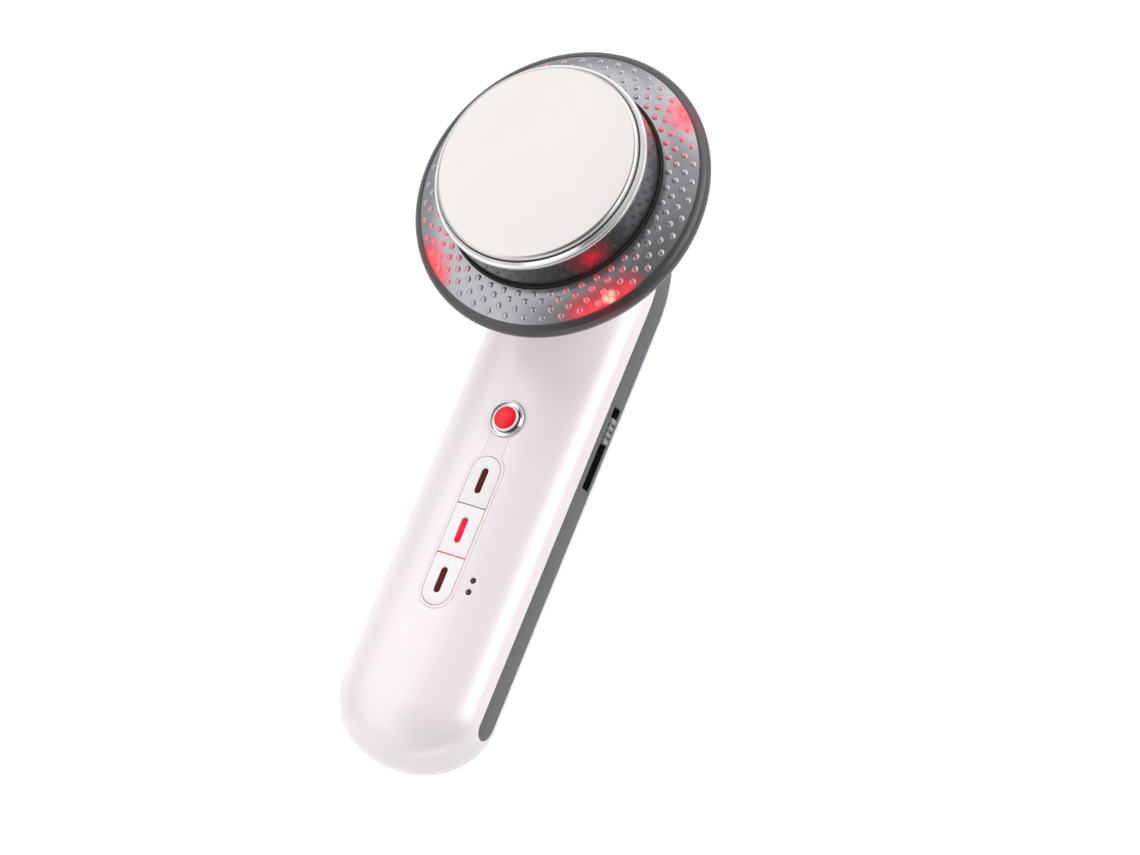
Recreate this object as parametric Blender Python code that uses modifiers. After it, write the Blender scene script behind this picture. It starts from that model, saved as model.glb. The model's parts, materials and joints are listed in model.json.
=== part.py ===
"""Hand-held facial treatment machine, built as an assembly of separate pieces.

The machine lies on its back. +Z points out of the front, +Y runs along the handle towards the
treatment head and +X is the side with the slide switch. The origin is at the middle of the
bounding box's underside. All lengths are in metres.
"""

import math

import bmesh
import bpy
from mathutils import Matrix, Vector

# Fits
GAP = 0.0003
FIT = 0.00015
OVERRUN = 0.003
WELD = 0.000001

# Handle body
HANDLE_HALF_WIDTH = 0.0200
FRONT_DEPTH = 0.0120
REAR_DOME_DEPTH = 0.0130
REAR_FLAT_CUT = 0.0006
FRONT_SQUARENESS = 2.2
REAR_SQUARENESS = 2.4
LOWER_END_LENGTH = 0.0167
HEAD_END_LENGTH = 0.0300
HANDLE_BEYOND_HEAD = 0.0139
COVER_WALL = 0.0022
BOSS_INSET = 0.0006
CROWN_ANGLE = math.radians(8)
BODY_STEPS = 36
BODY_BANDS = 6

# Places along the handle, from the centre of the power button
POWER_TO_LOWER_END = 0.0853
POWER_TO_HEAD = 0.0521
POWER_TO_STRIP = 0.0096
POWER_TO_KNOB = 0.00665

# Side bands
BAND_HALF_HEIGHT = 0.0031
BAND_THICKNESS = 0.0009
BAND_LOWER_REACH = 0.0038
BAND_HEAD_REACH = 0.0180
BAND_END_STEPS = 8

# Slide switch
SLOT_HALF_HEIGHT = 0.0015
SLOT_ABOVE_KNOB = 0.0027
SLOT_BELOW_KNOB = 0.0120
KNOB_LENGTH = 0.0065
KNOB_HALF_HEIGHT = 0.0011
KNOB_PROUD = 0.0008
KNOB_GROOVES = 3
KNOB_GROOVE_WIDTH = 0.0007
KNOB_GROOVE_DEPTH = 0.0004
KNOB_FLANGE_THICKNESS = 0.0008
KNOB_FLANGE_MARGIN = 0.0013
KNOB_FLANGE_ROOM = 0.0007
SLIDER_LENGTH = 0.0032
SLIDER_HALF_HEIGHT = 0.0009
SLIDER_DEPTH = 0.0022
LEVEL_SWITCH_DEPTH = 0.0054
LEVEL_SWITCH_WALL = 0.0010
LEVEL_SWITCH_END = 0.0020

# Treatment head, heights along its axis from the plane of the ring's face edge
HEAD_RISE = 0.01875
HEAD_TILT = math.radians(3.5)
HEAD_STEPS = 40
RING_FACE_WIDTH = 0.0080
RING_EDGE = 0.0020
RING_RISE = 0.0023
RING_WALL = 0.0018
RING_DEPTH = 0.0050
RING_SKIRT_WALL = 0.0010
RING_CURVE = 1.7
RING_BANDS = 4
RIM_PROFILE_SHARES = ((0.45, 0.05), (0.85, 0.18), (1.0, 0.36), (0.9, 0.56), (0.6, 0.76), (0.15, 0.92))

# Probe
COLLAR_RADIUS = 0.0262
COLLAR_WALL = 0.0018
COLLAR_HEIGHT = 0.01115
COLLAR_STEP = 0.0008
FLANGE_OVERHANG = 0.0019
FLANGE_THICKNESS = 0.0012
FLANGE_DEPTH = 0.0083
SEAL_WIDTH = 0.0005
SEAL_HEIGHT = 0.0036
BEZEL_WIDTH = 0.00075
BEZEL_HEIGHT = 0.0017
BEZEL_OVERHANG = 0.0002
INSULATOR_WIDTH = 0.00040
INSULATOR_STANDOUT = 0.0001
PLATE_HEIGHT = 0.0143
PLATE_EDGE = 0.0008
PLATE_WALL = 0.0012
EDGE_ARC_STEPS = 3
PIEZO_RADIUS = 0.0125
PIEZO_THICKNESS = 0.0020
CLAMP_THICKNESS = 0.0014
CLAMP_WIDTH = 0.0046

# Lamp board and ring lamps
LAMP_BOARD_THICKNESS = 0.0012
LAMP_BOARD_WIDTH = 0.0062
RING_LAMP_RADIUS = 0.0013
RING_LAMP_HEIGHT = 0.0018
RING_LAMP_EDGE = 0.0014
RING_LAMP_COUNT = 4

# Head housing
HOUSING_RIM_WALL = 0.0019
HOUSING_SHOULDER = 0.0009
HOUSING_WALL = 0.0020
HOUSING_FLOOR_MARGIN = 0.0068
NECK_RADIUS = 0.0125
NECK_BORE_RADIUS = 0.0070
SPIGOT_RADIUS = 0.0085
SPIGOT_STANDOUT = 0.0004
BOWL_TOP_DEPTH = 0.0056
BOWL_DEPTH = 0.0260
BOWL_PROFILE_SHARES = ((0.92, 0.11), (0.79, 0.26), (0.58, 0.40), (0.37, 0.54), (0.19, 0.70), (0.06, 0.86))
NECK_BOSS_RADIUS = 0.0122
NECK_BOSS_LENGTH = 0.0080
NUT_THICKNESS = 0.0018
NUT_WIDTH = 0.0031

# Power button
POWER_BEZEL_RADIUS = 0.0047
POWER_BEZEL_WIDTH = 0.0009
POWER_BEZEL_PROUD = 0.0008
POWER_BEZEL_SEAT = 0.0012
POWER_CAP_PROUD = 0.0009
POWER_LENS_MARGIN = 0.0004
POWER_LENS_DEPTH = 0.0010
POWER_LENS_DOME = 0.0006
POWER_STEPS = 20

# Control panel and key strip
STRIP_HALF_WIDTH = 0.0040
STRIP_LENGTH = 0.0380
KEY_COUNT = 3
KEY_PROUD = 0.00025
KEY_TRAVEL = 0.0006
KEY_FLANGE_ROOM = 0.0006
KEY_FLANGE_THICKNESS = 0.0008
KEY_FLANGE_MARGIN = 0.0008
KEY_STEM_RADIUS = 0.0013
KEY_STEM_OFFSET = 0.0034
WINDOW_LENGTH = 0.0063
WINDOW_WIDTH = 0.0013
WINDOW_DEPTH = 0.0022
PANEL_MARGIN = 0.0007
PANEL_THICKNESS = 0.0009
PANEL_PROUD = 0.00015
PANEL_NECK_HALF_WIDTH = 0.0026
PANEL_BLEND = 6
OUTLINE_STEPS = 30

# Level lamps beside the lowest key
LEVEL_LAMP_X = 0.0077
LEVEL_LAMP_RADIUS = 0.0006
LEVEL_LAMP_DEPTH = 0.0020
LEVEL_LAMP_SUNK = 0.0002
HIGH_LAMP_BELOW_POWER = 0.0391
LOW_LAMP_BELOW_POWER = 0.0420

# Main board and its parts
BOARD_DROP = 0.0086
BOARD_THICKNESS = 0.0012
BOARD_SIDE_ROOM = 0.0032
BOARD_LOWER_ROOM = 0.0105
BOARD_HEAD_MARGIN = 0.0050
SWITCH_SIDE = 0.0045
SWITCH_HEIGHT = 0.0026
PLUNGER_RADIUS = 0.0011
PLUNGER_STANDOUT = 0.0010
PLUNGER_LENGTH = 0.0019
KEY_LAMP_LENGTH = 0.0020
KEY_LAMP_WIDTH = 0.0012
KEY_LAMP_HEIGHT = 0.0008
KEY_LAMP_OFFSET = 0.0030
CHIP_SIDE = 0.0070
CHIP_HEIGHT = 0.0015
CHIP_ABOVE_POWER = 0.0140
TRANSFORMER_WIDTH = 0.0150
TRANSFORMER_LENGTH = 0.0130
TRANSFORMER_HEIGHT = 0.0080
TRANSFORMER_BELOW_POWER = 0.0360
WINDING_SHARE = 0.62
INDUCTOR_RADIUS = 0.0055
INDUCTOR_HEIGHT = 0.0075
INDUCTOR_FLANGE = 0.0012
INDUCTOR_GROOVE = 0.0010
INDUCTOR_BELOW_POWER = 0.0160
CAPACITOR_RADIUS = 0.0040
CAPACITOR_LENGTH = 0.0110
CAPACITOR_BELOW_POWER = 0.0490
SMALL_STEPS = 16

# Supply inlet in the lower end
SOCKET_WIDTH = 0.0090
SOCKET_LENGTH = 0.0110
SOCKET_HEIGHT = 0.0100
SOCKET_BORE_RADIUS = 0.0028
SOCKET_BORE_DEPTH = 0.0085
SOCKET_PIN_RADIUS = 0.0010
SOCKET_PIN_INSET = 0.0010
SOCKET_NOSE_RADIUS = 0.0036
SOCKET_NOSE_LENGTH = 0.0012
SOCKET_FRONT_ROOM = 0.0006

# Screws that close the covers
BOARD_HOLE_WALL = 0.0013
SCREW_LOWER_BELOW_POWER = 0.0580
SCREW_UPPER_ABOVE_POWER = 0.0270
SCREW_HEAD_RADIUS = 0.0022
SCREW_HEAD_HEIGHT = 0.0013
SCREW_SHANK_RADIUS = 0.0010
SCREW_GRIP = 0.0050
SCREW_SUNK = 0.0018
SCREW_SEAT_WALL = 0.0016
BOSS_RADIUS = 0.0030
POST_RADIUS = 0.0036

# Wires
WIRE_RADIUS = 0.0005
WIRE_SPREAD = 0.0030
WIRE_SIDES = 1
WIRE_START = 0.0030
WIRE_BEND = 0.0040
WIRE_DIP = 0.0035

# Levels and places that follow from the sizes above
PARTING_Z = REAR_DOME_DEPTH - REAR_FLAT_CUT
FRONT_Z = PARTING_Z + FRONT_DEPTH
RING_BORE_RADIUS = COLLAR_RADIUS + FIT + SEAL_WIDTH + FIT
RING_FACE_RADIUS = RING_BORE_RADIUS + RING_FACE_WIDTH
RING_RADIUS = RING_FACE_RADIUS + RING_EDGE
HEAD_REACH = RING_RADIUS * math.cos(HEAD_TILT) - 0.36 * RING_DEPTH * math.sin(HEAD_TILT)
LOWER_END_Y = -(POWER_TO_LOWER_END + POWER_TO_HEAD + HEAD_REACH) / 2
POWER_Y = LOWER_END_Y + POWER_TO_LOWER_END
HEAD_Y = POWER_Y + POWER_TO_HEAD
LOWER_CENTRE_Y = LOWER_END_Y + LOWER_END_LENGTH
HEAD_END_Y = HEAD_Y + HANDLE_BEYOND_HEAD
UPPER_CENTRE_Y = HEAD_END_Y - HEAD_END_LENGTH
KNOB_Y = POWER_Y + POWER_TO_KNOB
STRIP_TOP_Y = POWER_Y - POWER_TO_STRIP
STRIP_BOTTOM_Y = STRIP_TOP_Y - STRIP_LENGTH
KEY_PITCH = STRIP_LENGTH / KEY_COUNT
BOARD_TOP_Z = FRONT_Z - BOARD_DROP
BOARD_UNDER_Z = BOARD_TOP_Z - BOARD_THICKNESS
BOARD_HALF_WIDTH = HANDLE_HALF_WIDTH - COVER_WALL - BOARD_SIDE_ROOM
SCREW_X = BOARD_HALF_WIDTH - BOARD_HOLE_WALL - GAP - BOSS_RADIUS
SWITCH_TOP_Z = BOARD_TOP_Z + GAP + SWITCH_HEIGHT
PLUNGER_TOP_Z = SWITCH_TOP_Z + PLUNGER_STANDOUT
FLANGE_TOP_Z = FRONT_Z - COVER_WALL - KEY_FLANGE_ROOM
HEAD_FRAME = Matrix.Translation((0, HEAD_Y, FRONT_Z + HEAD_RISE)) @ Matrix.Rotation(-HEAD_TILT, 4, "X")
NECK_BOSS_DEPTH = HEAD_RISE + COVER_WALL + NECK_BOSS_LENGTH
SPIGOT_DEPTH = NECK_BOSS_DEPTH + GAP + NUT_THICKNESS + SPIGOT_STANDOUT
SKIRT_INNER_RADIUS = RING_FACE_RADIUS - RING_SKIRT_WALL
KEY_NAMES = ("ems", "infrared", "sonic")

PARTS = "facial_treatment_machine"
CUTTERS = "cutters"


def start_scene():
    """Empties the scene and makes the two collections."""
    for obj in list(bpy.data.objects):
        bpy.data.objects.remove(obj, do_unlink=True)
    for name in (PARTS, CUTTERS):
        collection = bpy.data.collections.new(name)
        bpy.context.scene.collection.children.link(collection)


def link(obj, collection=PARTS):
    """Puts an object in a collection; one for the cutters is drawn as wire."""
    bpy.data.collections[collection].objects.link(obj)
    if collection == CUTTERS:
        obj.hide_render = True
        obj.display_type = "WIRE"
    return obj


def finish(obj, colour, roughness, metallic=0.0, transmission=0.0):
    """Gives a piece its own material and smooth shading with sharp edges kept."""
    material = bpy.data.materials.new(obj.name)
    material.use_nodes = True
    shader = material.node_tree.nodes["Principled BSDF"]
    shader.inputs["Base Color"].default_value = (*colour, 1)
    shader.inputs["Roughness"].default_value = roughness
    shader.inputs["Metallic"].default_value = metallic
    shader.inputs["Transmission Weight"].default_value = transmission
    obj.data.materials.clear()
    obj.data.materials.append(material)
    if obj.type == "MESH":
        obj.data.shade_smooth()
        obj.data.set_sharp_from_angle(angle=math.radians(30))
    return obj


def combine(target, tool, operation):
    """Adds a Boolean modifier to a piece or a cutter."""
    modifier = target.modifiers.new(tool.name, "BOOLEAN")
    modifier.operation = operation
    modifier.object = tool
    modifier.solver = "EXACT"


def settled(obj, name):
    """Returns a new mesh with an object's modifiers applied, and removes the object."""
    bpy.context.view_layer.update()
    graph = bpy.context.evaluated_depsgraph_get()
    mesh = bpy.data.meshes.new_from_object(obj.evaluated_get(graph))
    mesh.name = name
    mesh.transform(obj.matrix_world)
    bpy.data.objects.remove(obj, do_unlink=True)
    return mesh


def turned(name, profile, steps=HEAD_STEPS, collection=PARTS, frame=None, closed=True):
    """Turns a profile of (radius, height) points about Z with a Screw modifier."""
    mesh = bpy.data.meshes.new(name)
    count = len(profile)
    edges = [(i, i + 1) for i in range(count - 1)]
    if closed and profile[0][0] > 0:
        edges.append((count - 1, 0))
    mesh.from_pydata([(radius, 0, height) for radius, height in profile], edges, [])
    obj = link(bpy.data.objects.new(name, mesh), collection)
    screw = obj.modifiers.new("turn", "SCREW")
    screw.axis = "Z"
    screw.angle = math.tau
    screw.steps = steps
    screw.render_steps = steps
    screw.use_merge_vertices = True
    screw.merge_threshold = WELD
    screw.use_smooth_shade = True
    if frame is not None:
        obj.matrix_world = frame
    return obj


def tube_profile(outer, inner, top, bottom):
    """Returns the closed profile of a plain ring."""
    return [(outer, top), (outer, bottom), (inner, bottom), (inner, top)]


def box(name, low, high, collection=PARTS):
    """Makes a box between two corners."""
    mesh = bpy.data.meshes.new(name)
    work = bmesh.new()
    bmesh.ops.create_cube(work, size=1)
    size = Vector(high) - Vector(low)
    middle = (Vector(high) + Vector(low)) / 2
    bmesh.ops.scale(work, vec=size, verts=work.verts)
    work.to_mesh(mesh)
    work.free()
    obj = link(bpy.data.objects.new(name, mesh), collection)
    obj.location = middle
    return obj


def cylinder(name, radius, low, high, steps=SMALL_STEPS, collection=PARTS):
    """Makes a cylinder between two points."""
    axis = Vector(high) - Vector(low)
    mesh = bpy.data.meshes.new(name)
    work = bmesh.new()
    bmesh.ops.create_cone(work, cap_ends=True, segments=steps, radius1=radius, radius2=radius,
                          depth=axis.length)
    work.to_mesh(mesh)
    work.free()
    obj = link(bpy.data.objects.new(name, mesh), collection)
    turn = axis.to_track_quat("Z", "Y").to_matrix().to_4x4()
    obj.matrix_world = Matrix.Translation((Vector(low) + Vector(high)) / 2) @ turn
    return obj


def prism(name, outline, low_z, high_z, collection=PARTS, turn=None):
    """Makes a plate from a flat outline, standing between two levels."""
    curve = bpy.data.curves.new(name, "CURVE")
    curve.dimensions = "2D"
    curve.fill_mode = "BOTH"
    curve.extrude = (high_z - low_z) / 2
    spline = curve.splines.new("POLY")
    spline.points.add(len(outline) - 1)
    for point, (x, y) in zip(spline.points, outline):
        point.co = (x, y, 0, 1)
    spline.use_cyclic_u = True
    drawn = link(bpy.data.objects.new(name + "_outline", curve), CUTTERS)
    drawn.matrix_world = (turn or Matrix()) @ Matrix.Translation((0, 0, (low_z + high_z) / 2))
    mesh = settled(drawn, name)
    weld(mesh)
    return link(bpy.data.objects.new(name, mesh), collection)


def weld(mesh):
    """Merges a mesh's doubled points and turns its faces outwards."""
    work = bmesh.new()
    work.from_mesh(mesh)
    bmesh.ops.remove_doubles(work, verts=work.verts, dist=WELD)
    bmesh.ops.recalc_face_normals(work, faces=work.faces)
    work.to_mesh(mesh)
    work.free()


def applied(obj, collection=PARTS):
    """Returns the same piece with its modifiers made part of its mesh."""
    name = obj.name
    mesh = settled(obj, name)
    weld(mesh)
    return link(bpy.data.objects.new(name, mesh), collection)


def capped(obj):
    """Returns the same turned piece with each open end closed by one flat face."""
    name = obj.name
    mesh = settled(obj, name)
    work = bmesh.new()
    work.from_mesh(mesh)
    bmesh.ops.remove_doubles(work, verts=work.verts, dist=WELD)
    bmesh.ops.holes_fill(work, edges=work.edges, sides=0)
    bmesh.ops.recalc_face_normals(work, faces=work.faces)
    work.to_mesh(mesh)
    work.free()
    return link(bpy.data.objects.new(name, mesh))


def joined(name, pieces, collection=CUTTERS):
    """Joins loose tool pieces that don't touch into one tool."""
    work = bmesh.new()
    for piece in pieces:
        mesh = settled(piece, name)
        work.from_mesh(mesh)
        bpy.data.meshes.remove(mesh)
    mesh = bpy.data.meshes.new(name)
    work.to_mesh(mesh)
    work.free()
    return link(bpy.data.objects.new(name, mesh), collection)


def pill_outline(half_width, low_y, high_y, centre_x=0, round_low=True, round_high=True):
    """Returns the outline of a strip along Y with round or square ends."""
    steps = BAND_END_STEPS
    points = []
    for centre_y, start, rounded in ((high_y - half_width, 0, round_high),
                                     (low_y + half_width, math.pi, round_low)):
        if rounded:
            angles = [start + math.pi * i / steps for i in range(steps + 1)]
            points += [(centre_x + half_width * math.cos(a), centre_y + half_width * math.sin(a))
                       for a in angles]
        else:
            end_y = high_y if start == 0 else low_y
            side = half_width if start == 0 else -half_width
            points += [(centre_x + side, end_y), (centre_x - side, end_y)]
    return points


def body_profile(inset):
    """Returns the handle's half section, from the crown down to the rear flat."""
    half_width = HANDLE_HALF_WIDTH - inset
    front = FRONT_DEPTH - inset
    rear = REAR_DOME_DEPTH - inset
    flat = REAR_DOME_DEPTH - REAR_FLAT_CUT - inset
    power = 2 / FRONT_SQUARENESS
    points = []
    for i in range(BODY_BANDS):
        angle = CROWN_ANGLE + (math.pi / 2 - CROWN_ANGLE) * i / BODY_BANDS
        height = front if i == 0 else front * math.cos(angle) ** power
        points.append((half_width * math.sin(angle) ** power, PARTING_Z + height))
    power = 2 / REAR_SQUARENESS
    flat_angle = math.acos((flat / rear) ** (1 / power))
    for i in range(BODY_BANDS + 1):
        angle = math.pi / 2 + (flat_angle - math.pi / 2) * i / BODY_BANDS
        depth = rear * max(math.cos(angle), 0) ** power
        points.append((half_width * math.sin(angle) ** power, PARTING_Z - depth))
    return points


def body_mesh(name, inset, capped=True):
    """Turns the handle's section and draws its two halves apart along Y."""
    profile = body_profile(inset)
    spun = turned(name, profile, BODY_STEPS, CUTTERS, closed=False)
    spun.matrix_world = Matrix.Rotation(math.pi / BODY_STEPS, 4, "Z")
    mesh = settled(spun, name)
    work = bmesh.new()
    work.from_mesh(mesh)
    bmesh.ops.remove_doubles(work, verts=work.verts, dist=WELD)
    half_width = HANDLE_HALF_WIDTH - inset
    for vert in work.verts:
        if vert.co.y > 0:
            vert.co.y = UPPER_CENTRE_Y + vert.co.y * (HEAD_END_LENGTH - inset) / half_width
        else:
            vert.co.y = LOWER_CENTRE_Y + vert.co.y * (LOWER_END_LENGTH - inset) / half_width
    if capped:
        bmesh.ops.holes_fill(work, edges=work.edges, sides=BODY_STEPS)
    bmesh.ops.recalc_face_normals(work, faces=work.faces)
    work.to_mesh(mesh)
    work.free()
    return mesh


def body_solid(name, inset):
    """Makes the closed handle body, smaller by an inset, as a tool for cuts."""
    return link(bpy.data.objects.new(name, body_mesh(name, inset)), CUTTERS)


def front_surface_z(x, y):
    """Returns the height of the front surface over a point of the handle."""
    beyond = max(0, y - UPPER_CENTRE_Y) / HEAD_END_LENGTH + max(0, LOWER_CENTRE_Y - y) / LOWER_END_LENGTH
    share = min(1, math.hypot(x / HANDLE_HALF_WIDTH, beyond))
    return PARTING_Z + FRONT_DEPTH * (1 - share ** FRONT_SQUARENESS) ** (1 / FRONT_SQUARENESS)


def rear_surface_z(x, y):
    """Returns the height of the rear surface over a point of the handle."""
    beyond = max(0, y - UPPER_CENTRE_Y) / HEAD_END_LENGTH + max(0, LOWER_CENTRE_Y - y) / LOWER_END_LENGTH
    share = min(1, math.hypot(x / HANDLE_HALF_WIDTH, beyond))
    depth = REAR_DOME_DEPTH * (1 - share ** REAR_SQUARENESS) ** (1 / REAR_SQUARENESS)
    return max(0, PARTING_Z - depth)


def cover_shell(name, keep_front):
    """Makes one cover: half of the body's skin, thickened inwards with Solidify."""
    mesh = body_mesh(name, 0)
    plane_z = PARTING_Z + (-COVER_WALL if keep_front else COVER_WALL)
    work = bmesh.new()
    work.from_mesh(mesh)
    geometry = work.verts[:] + work.edges[:] + work.faces[:]
    bmesh.ops.bisect_plane(work, geom=geometry, plane_co=(0, 0, plane_z), plane_no=(0, 0, 1),
                           clear_inner=keep_front, clear_outer=not keep_front)
    work.to_mesh(mesh)
    work.free()
    cover = link(bpy.data.objects.new(name, mesh))
    wall = cover.modifiers.new("wall", "SOLIDIFY")
    wall.thickness = COVER_WALL
    wall.offset = -1
    wall.use_even_offset = True
    trim_z = PARTING_Z + (GAP / 2 if keep_front else -GAP / 2)
    far_z = PARTING_Z + (-FRONT_DEPTH if keep_front else FRONT_DEPTH)
    reach = HANDLE_HALF_WIDTH + OVERRUN
    trim = box(name + "_trim", (-reach, LOWER_END_Y - OVERRUN, min(trim_z, far_z)),
               (reach, HEAD_END_Y + OVERRUN, max(trim_z, far_z)), CUTTERS)
    combine(cover, trim, "DIFFERENCE")
    return cover


def screw_places():
    """Returns the screw axes as (x, y)."""
    rows = (POWER_Y - SCREW_LOWER_BELOW_POWER, POWER_Y + SCREW_UPPER_ABOVE_POWER)
    return [(side * SCREW_X, y) for y in rows for side in (-1, 1)]


def band_turn(side):
    """Returns the turn that stands a flat outline on the handle's side; its X becomes up."""
    return Matrix(((0, 0, side, 0), (0, 1, 0, 0), (1, 0, 0, PARTING_Z), (0, 0, 0, 1)))


def band_outline(grow):
    """Returns a side band's outline, with its height as X."""
    low_y = LOWER_CENTRE_Y - BAND_LOWER_REACH
    high_y = UPPER_CENTRE_Y + BAND_HEAD_REACH
    return pill_outline(BAND_HALF_HEIGHT + grow, low_y - grow, high_y + grow)


def slot_tool(name, grow):
    """Makes the cutter of the slide switch's slot, through band and covers."""
    low_y = KNOB_Y - KNOB_LENGTH / 2 - SLOT_BELOW_KNOB
    high_y = KNOB_Y + KNOB_LENGTH / 2 + SLOT_ABOVE_KNOB
    inner_x = HANDLE_HALF_WIDTH - COVER_WALL - OVERRUN
    half = SLOT_HALF_HEIGHT + grow
    return box(name, (inner_x, low_y - grow, PARTING_Z - half),
               (HANDLE_HALF_WIDTH + OVERRUN, high_y + grow, PARTING_Z + half), CUTTERS)


def band_recess(side):
    """Makes the cutter of the shallow recess that a side band lies in."""
    tool = prism(f"band_recess_{side}", band_outline(GAP), 0, HANDLE_HALF_WIDTH + OVERRUN, CUTTERS,
                 band_turn(side))
    floor = body_solid(f"band_recess_floor_{side}", BAND_THICKNESS + GAP)
    combine(tool, floor, "DIFFERENCE")
    return applied(tool, CUTTERS)


def side_band(name, side, slot=None):
    """Makes a side band: a strip of the handle's skin."""
    band = prism(name, band_outline(0), 0, HANDLE_HALF_WIDTH + OVERRUN, PARTS, band_turn(side))
    combine(band, body_solid(name + "_skin", 0), "INTERSECT")
    combine(band, body_solid(name + "_back", BAND_THICKNESS), "DIFFERENCE")
    if slot is not None:
        combine(band, slot, "DIFFERENCE")
    return finish(band, (0.18, 0.18, 0.19), 0.5)


def panel_half_width(y, margin):
    """Returns the half width of the keyhole outline: power ring, neck and key strip blended."""
    circle_radius = POWER_BEZEL_RADIUS + margin
    strip = STRIP_HALF_WIDTH + margin
    low = STRIP_BOTTOM_Y - margin + strip
    high = STRIP_TOP_Y + margin - strip
    widths = [0]
    if abs(y - POWER_Y) < circle_radius:
        widths.append(math.sqrt(circle_radius ** 2 - (y - POWER_Y) ** 2))
    if low - strip <= y <= high + strip:
        off = max(low - y, y - high, 0)
        widths.append(math.sqrt(max(strip ** 2 - off ** 2, 0)))
    if high <= y <= POWER_Y:
        widths.append(PANEL_NECK_HALF_WIDTH + margin - PANEL_MARGIN)
    return sum(w ** PANEL_BLEND for w in widths) ** (1 / PANEL_BLEND)


def keyhole_outline(margin):
    """Returns the control panel's outline, grown by a margin."""
    low = STRIP_BOTTOM_Y - margin
    high = POWER_Y + POWER_BEZEL_RADIUS + margin
    turns = [i / OUTLINE_STEPS for i in range(OUTLINE_STEPS + 1)]
    heights = [low + (high - low) * (t - math.sin(math.tau * t) / math.tau) for t in turns]
    right = [(panel_half_width(y, margin), y) for y in heights]
    left = [(-x, y) for x, y in right[-2:0:-1]]
    return right + left


def front_tools(slot, recesses):
    """Returns the cutters of the front cover."""
    panel_floor = FRONT_Z + PANEL_PROUD - PANEL_THICKNESS - GAP
    tools = [
        prism("panel_recess", keyhole_outline(PANEL_MARGIN + FIT), panel_floor, FRONT_Z + OVERRUN, CUTTERS),
        prism("strip_hole", pill_outline(STRIP_HALF_WIDTH, STRIP_BOTTOM_Y, STRIP_TOP_Y),
              FRONT_Z - COVER_WALL - OVERRUN, FRONT_Z + OVERRUN, CUTTERS),
        cylinder("power_hole", power_cap_radius() + GAP, (0, POWER_Y, FRONT_Z - COVER_WALL - OVERRUN),
                 (0, POWER_Y, FRONT_Z + OVERRUN), POWER_STEPS, CUTTERS),
        cylinder("power_seat", POWER_BEZEL_RADIUS + FIT, (0, POWER_Y, FRONT_Z - POWER_BEZEL_SEAT - GAP),
                 (0, POWER_Y, FRONT_Z + OVERRUN), POWER_STEPS, CUTTERS),
    ]
    tools.append(joined("level_lamp_holes", [level_lamp_solid("hole", y, FIT, True) for y in lamp_places()]))
    hole = turned("spigot_hole", [(0, -HEAD_RISE / 2), (SPIGOT_RADIUS + GAP, -HEAD_RISE / 2),
                                  (SPIGOT_RADIUS + GAP, -SPIGOT_DEPTH - OVERRUN),
                                  (0, -SPIGOT_DEPTH - OVERRUN)], HEAD_STEPS, CUTTERS, HEAD_FRAME)
    pilots = [cylinder("pilot", SCREW_SHANK_RADIUS + GAP, (x, y, PARTING_Z - OVERRUN),
                       (x, y, screw_top_z() + GAP), SMALL_STEPS, CUTTERS) for x, y in screw_places()]
    return tools + [hole, joined("pilot_holes", pilots), slot] + recesses


def front_bosses():
    """Makes the screw bosses and the neck boss, trimmed to the inside of the skin."""
    bosses = [cylinder("boss", BOSS_RADIUS, (x, y, PARTING_Z + GAP), (x, y, FRONT_Z), SMALL_STEPS, CUTTERS)
              for x, y in screw_places()]
    neck = turned("neck", [(0, -HEAD_RISE), (NECK_BOSS_RADIUS, -HEAD_RISE), (NECK_BOSS_RADIUS, -NECK_BOSS_DEPTH),
                           (0, -NECK_BOSS_DEPTH)], HEAD_STEPS, CUTTERS, HEAD_FRAME)
    tool = joined("front_bosses", bosses + [neck])
    combine(tool, body_solid("front_boss_limit", BOSS_INSET), "INTERSECT")
    return tool


def front_cover(slot, recesses):
    """Makes the front cover with its bosses, holes and recesses."""
    cover = cover_shell("front_cover", True)
    combine(cover, front_bosses(), "UNION")
    for tool in front_tools(slot, recesses):
        cover = applied(cover)
        combine(cover, tool, "DIFFERENCE")
    return finish(cover, (0.86, 0.82, 0.84), 0.28)


def screw_seat_z(x, y):
    """Returns the level of the face that a screw's head bears on."""
    return rear_surface_z(x, y) + SCREW_SUNK + SCREW_HEAD_HEIGHT + GAP


def screw_top_z():
    """Returns the level of the screws' tips."""
    return PARTING_Z + SCREW_GRIP


def rear_posts():
    """Makes the screw posts of the rear cover, trimmed to the inside of the skin."""
    posts = [cylinder("post", POST_RADIUS, (x, y, 0), (x, y, PARTING_Z - GAP), SMALL_STEPS, CUTTERS)
             for x, y in screw_places()]
    tool = joined("rear_posts", posts)
    combine(tool, body_solid("rear_post_limit", BOSS_INSET), "INTERSECT")
    return tool


def rear_cover(slot, recesses):
    """Makes the rear cover with its posts, screw holes and the inlet's opening."""
    cover = cover_shell("rear_cover", False)
    combine(cover, rear_posts(), "UNION")
    shanks = [cylinder("shank", SCREW_SHANK_RADIUS + GAP, (x, y, -OVERRUN), (x, y, PARTING_Z + OVERRUN),
                       SMALL_STEPS, CUTTERS) for x, y in screw_places()]
    heads = [cylinder("head", SCREW_HEAD_RADIUS + GAP, (x, y, -OVERRUN), (x, y, screw_seat_z(x, y)),
                      SMALL_STEPS, CUTTERS) for x, y in screw_places()]
    inlet = cylinder("inlet_hole", SOCKET_NOSE_RADIUS + GAP, (0, LOWER_END_Y - OVERRUN, socket_z()),
                     (0, socket_front_y() + GAP, socket_z()), POWER_STEPS, CUTTERS)
    for tool in [joined("shank_holes", shanks), joined("head_holes", heads), inlet, slot] + recesses:
        cover = applied(cover)
        combine(cover, tool, "DIFFERENCE")
    return finish(cover, (0.86, 0.82, 0.84), 0.28)


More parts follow.
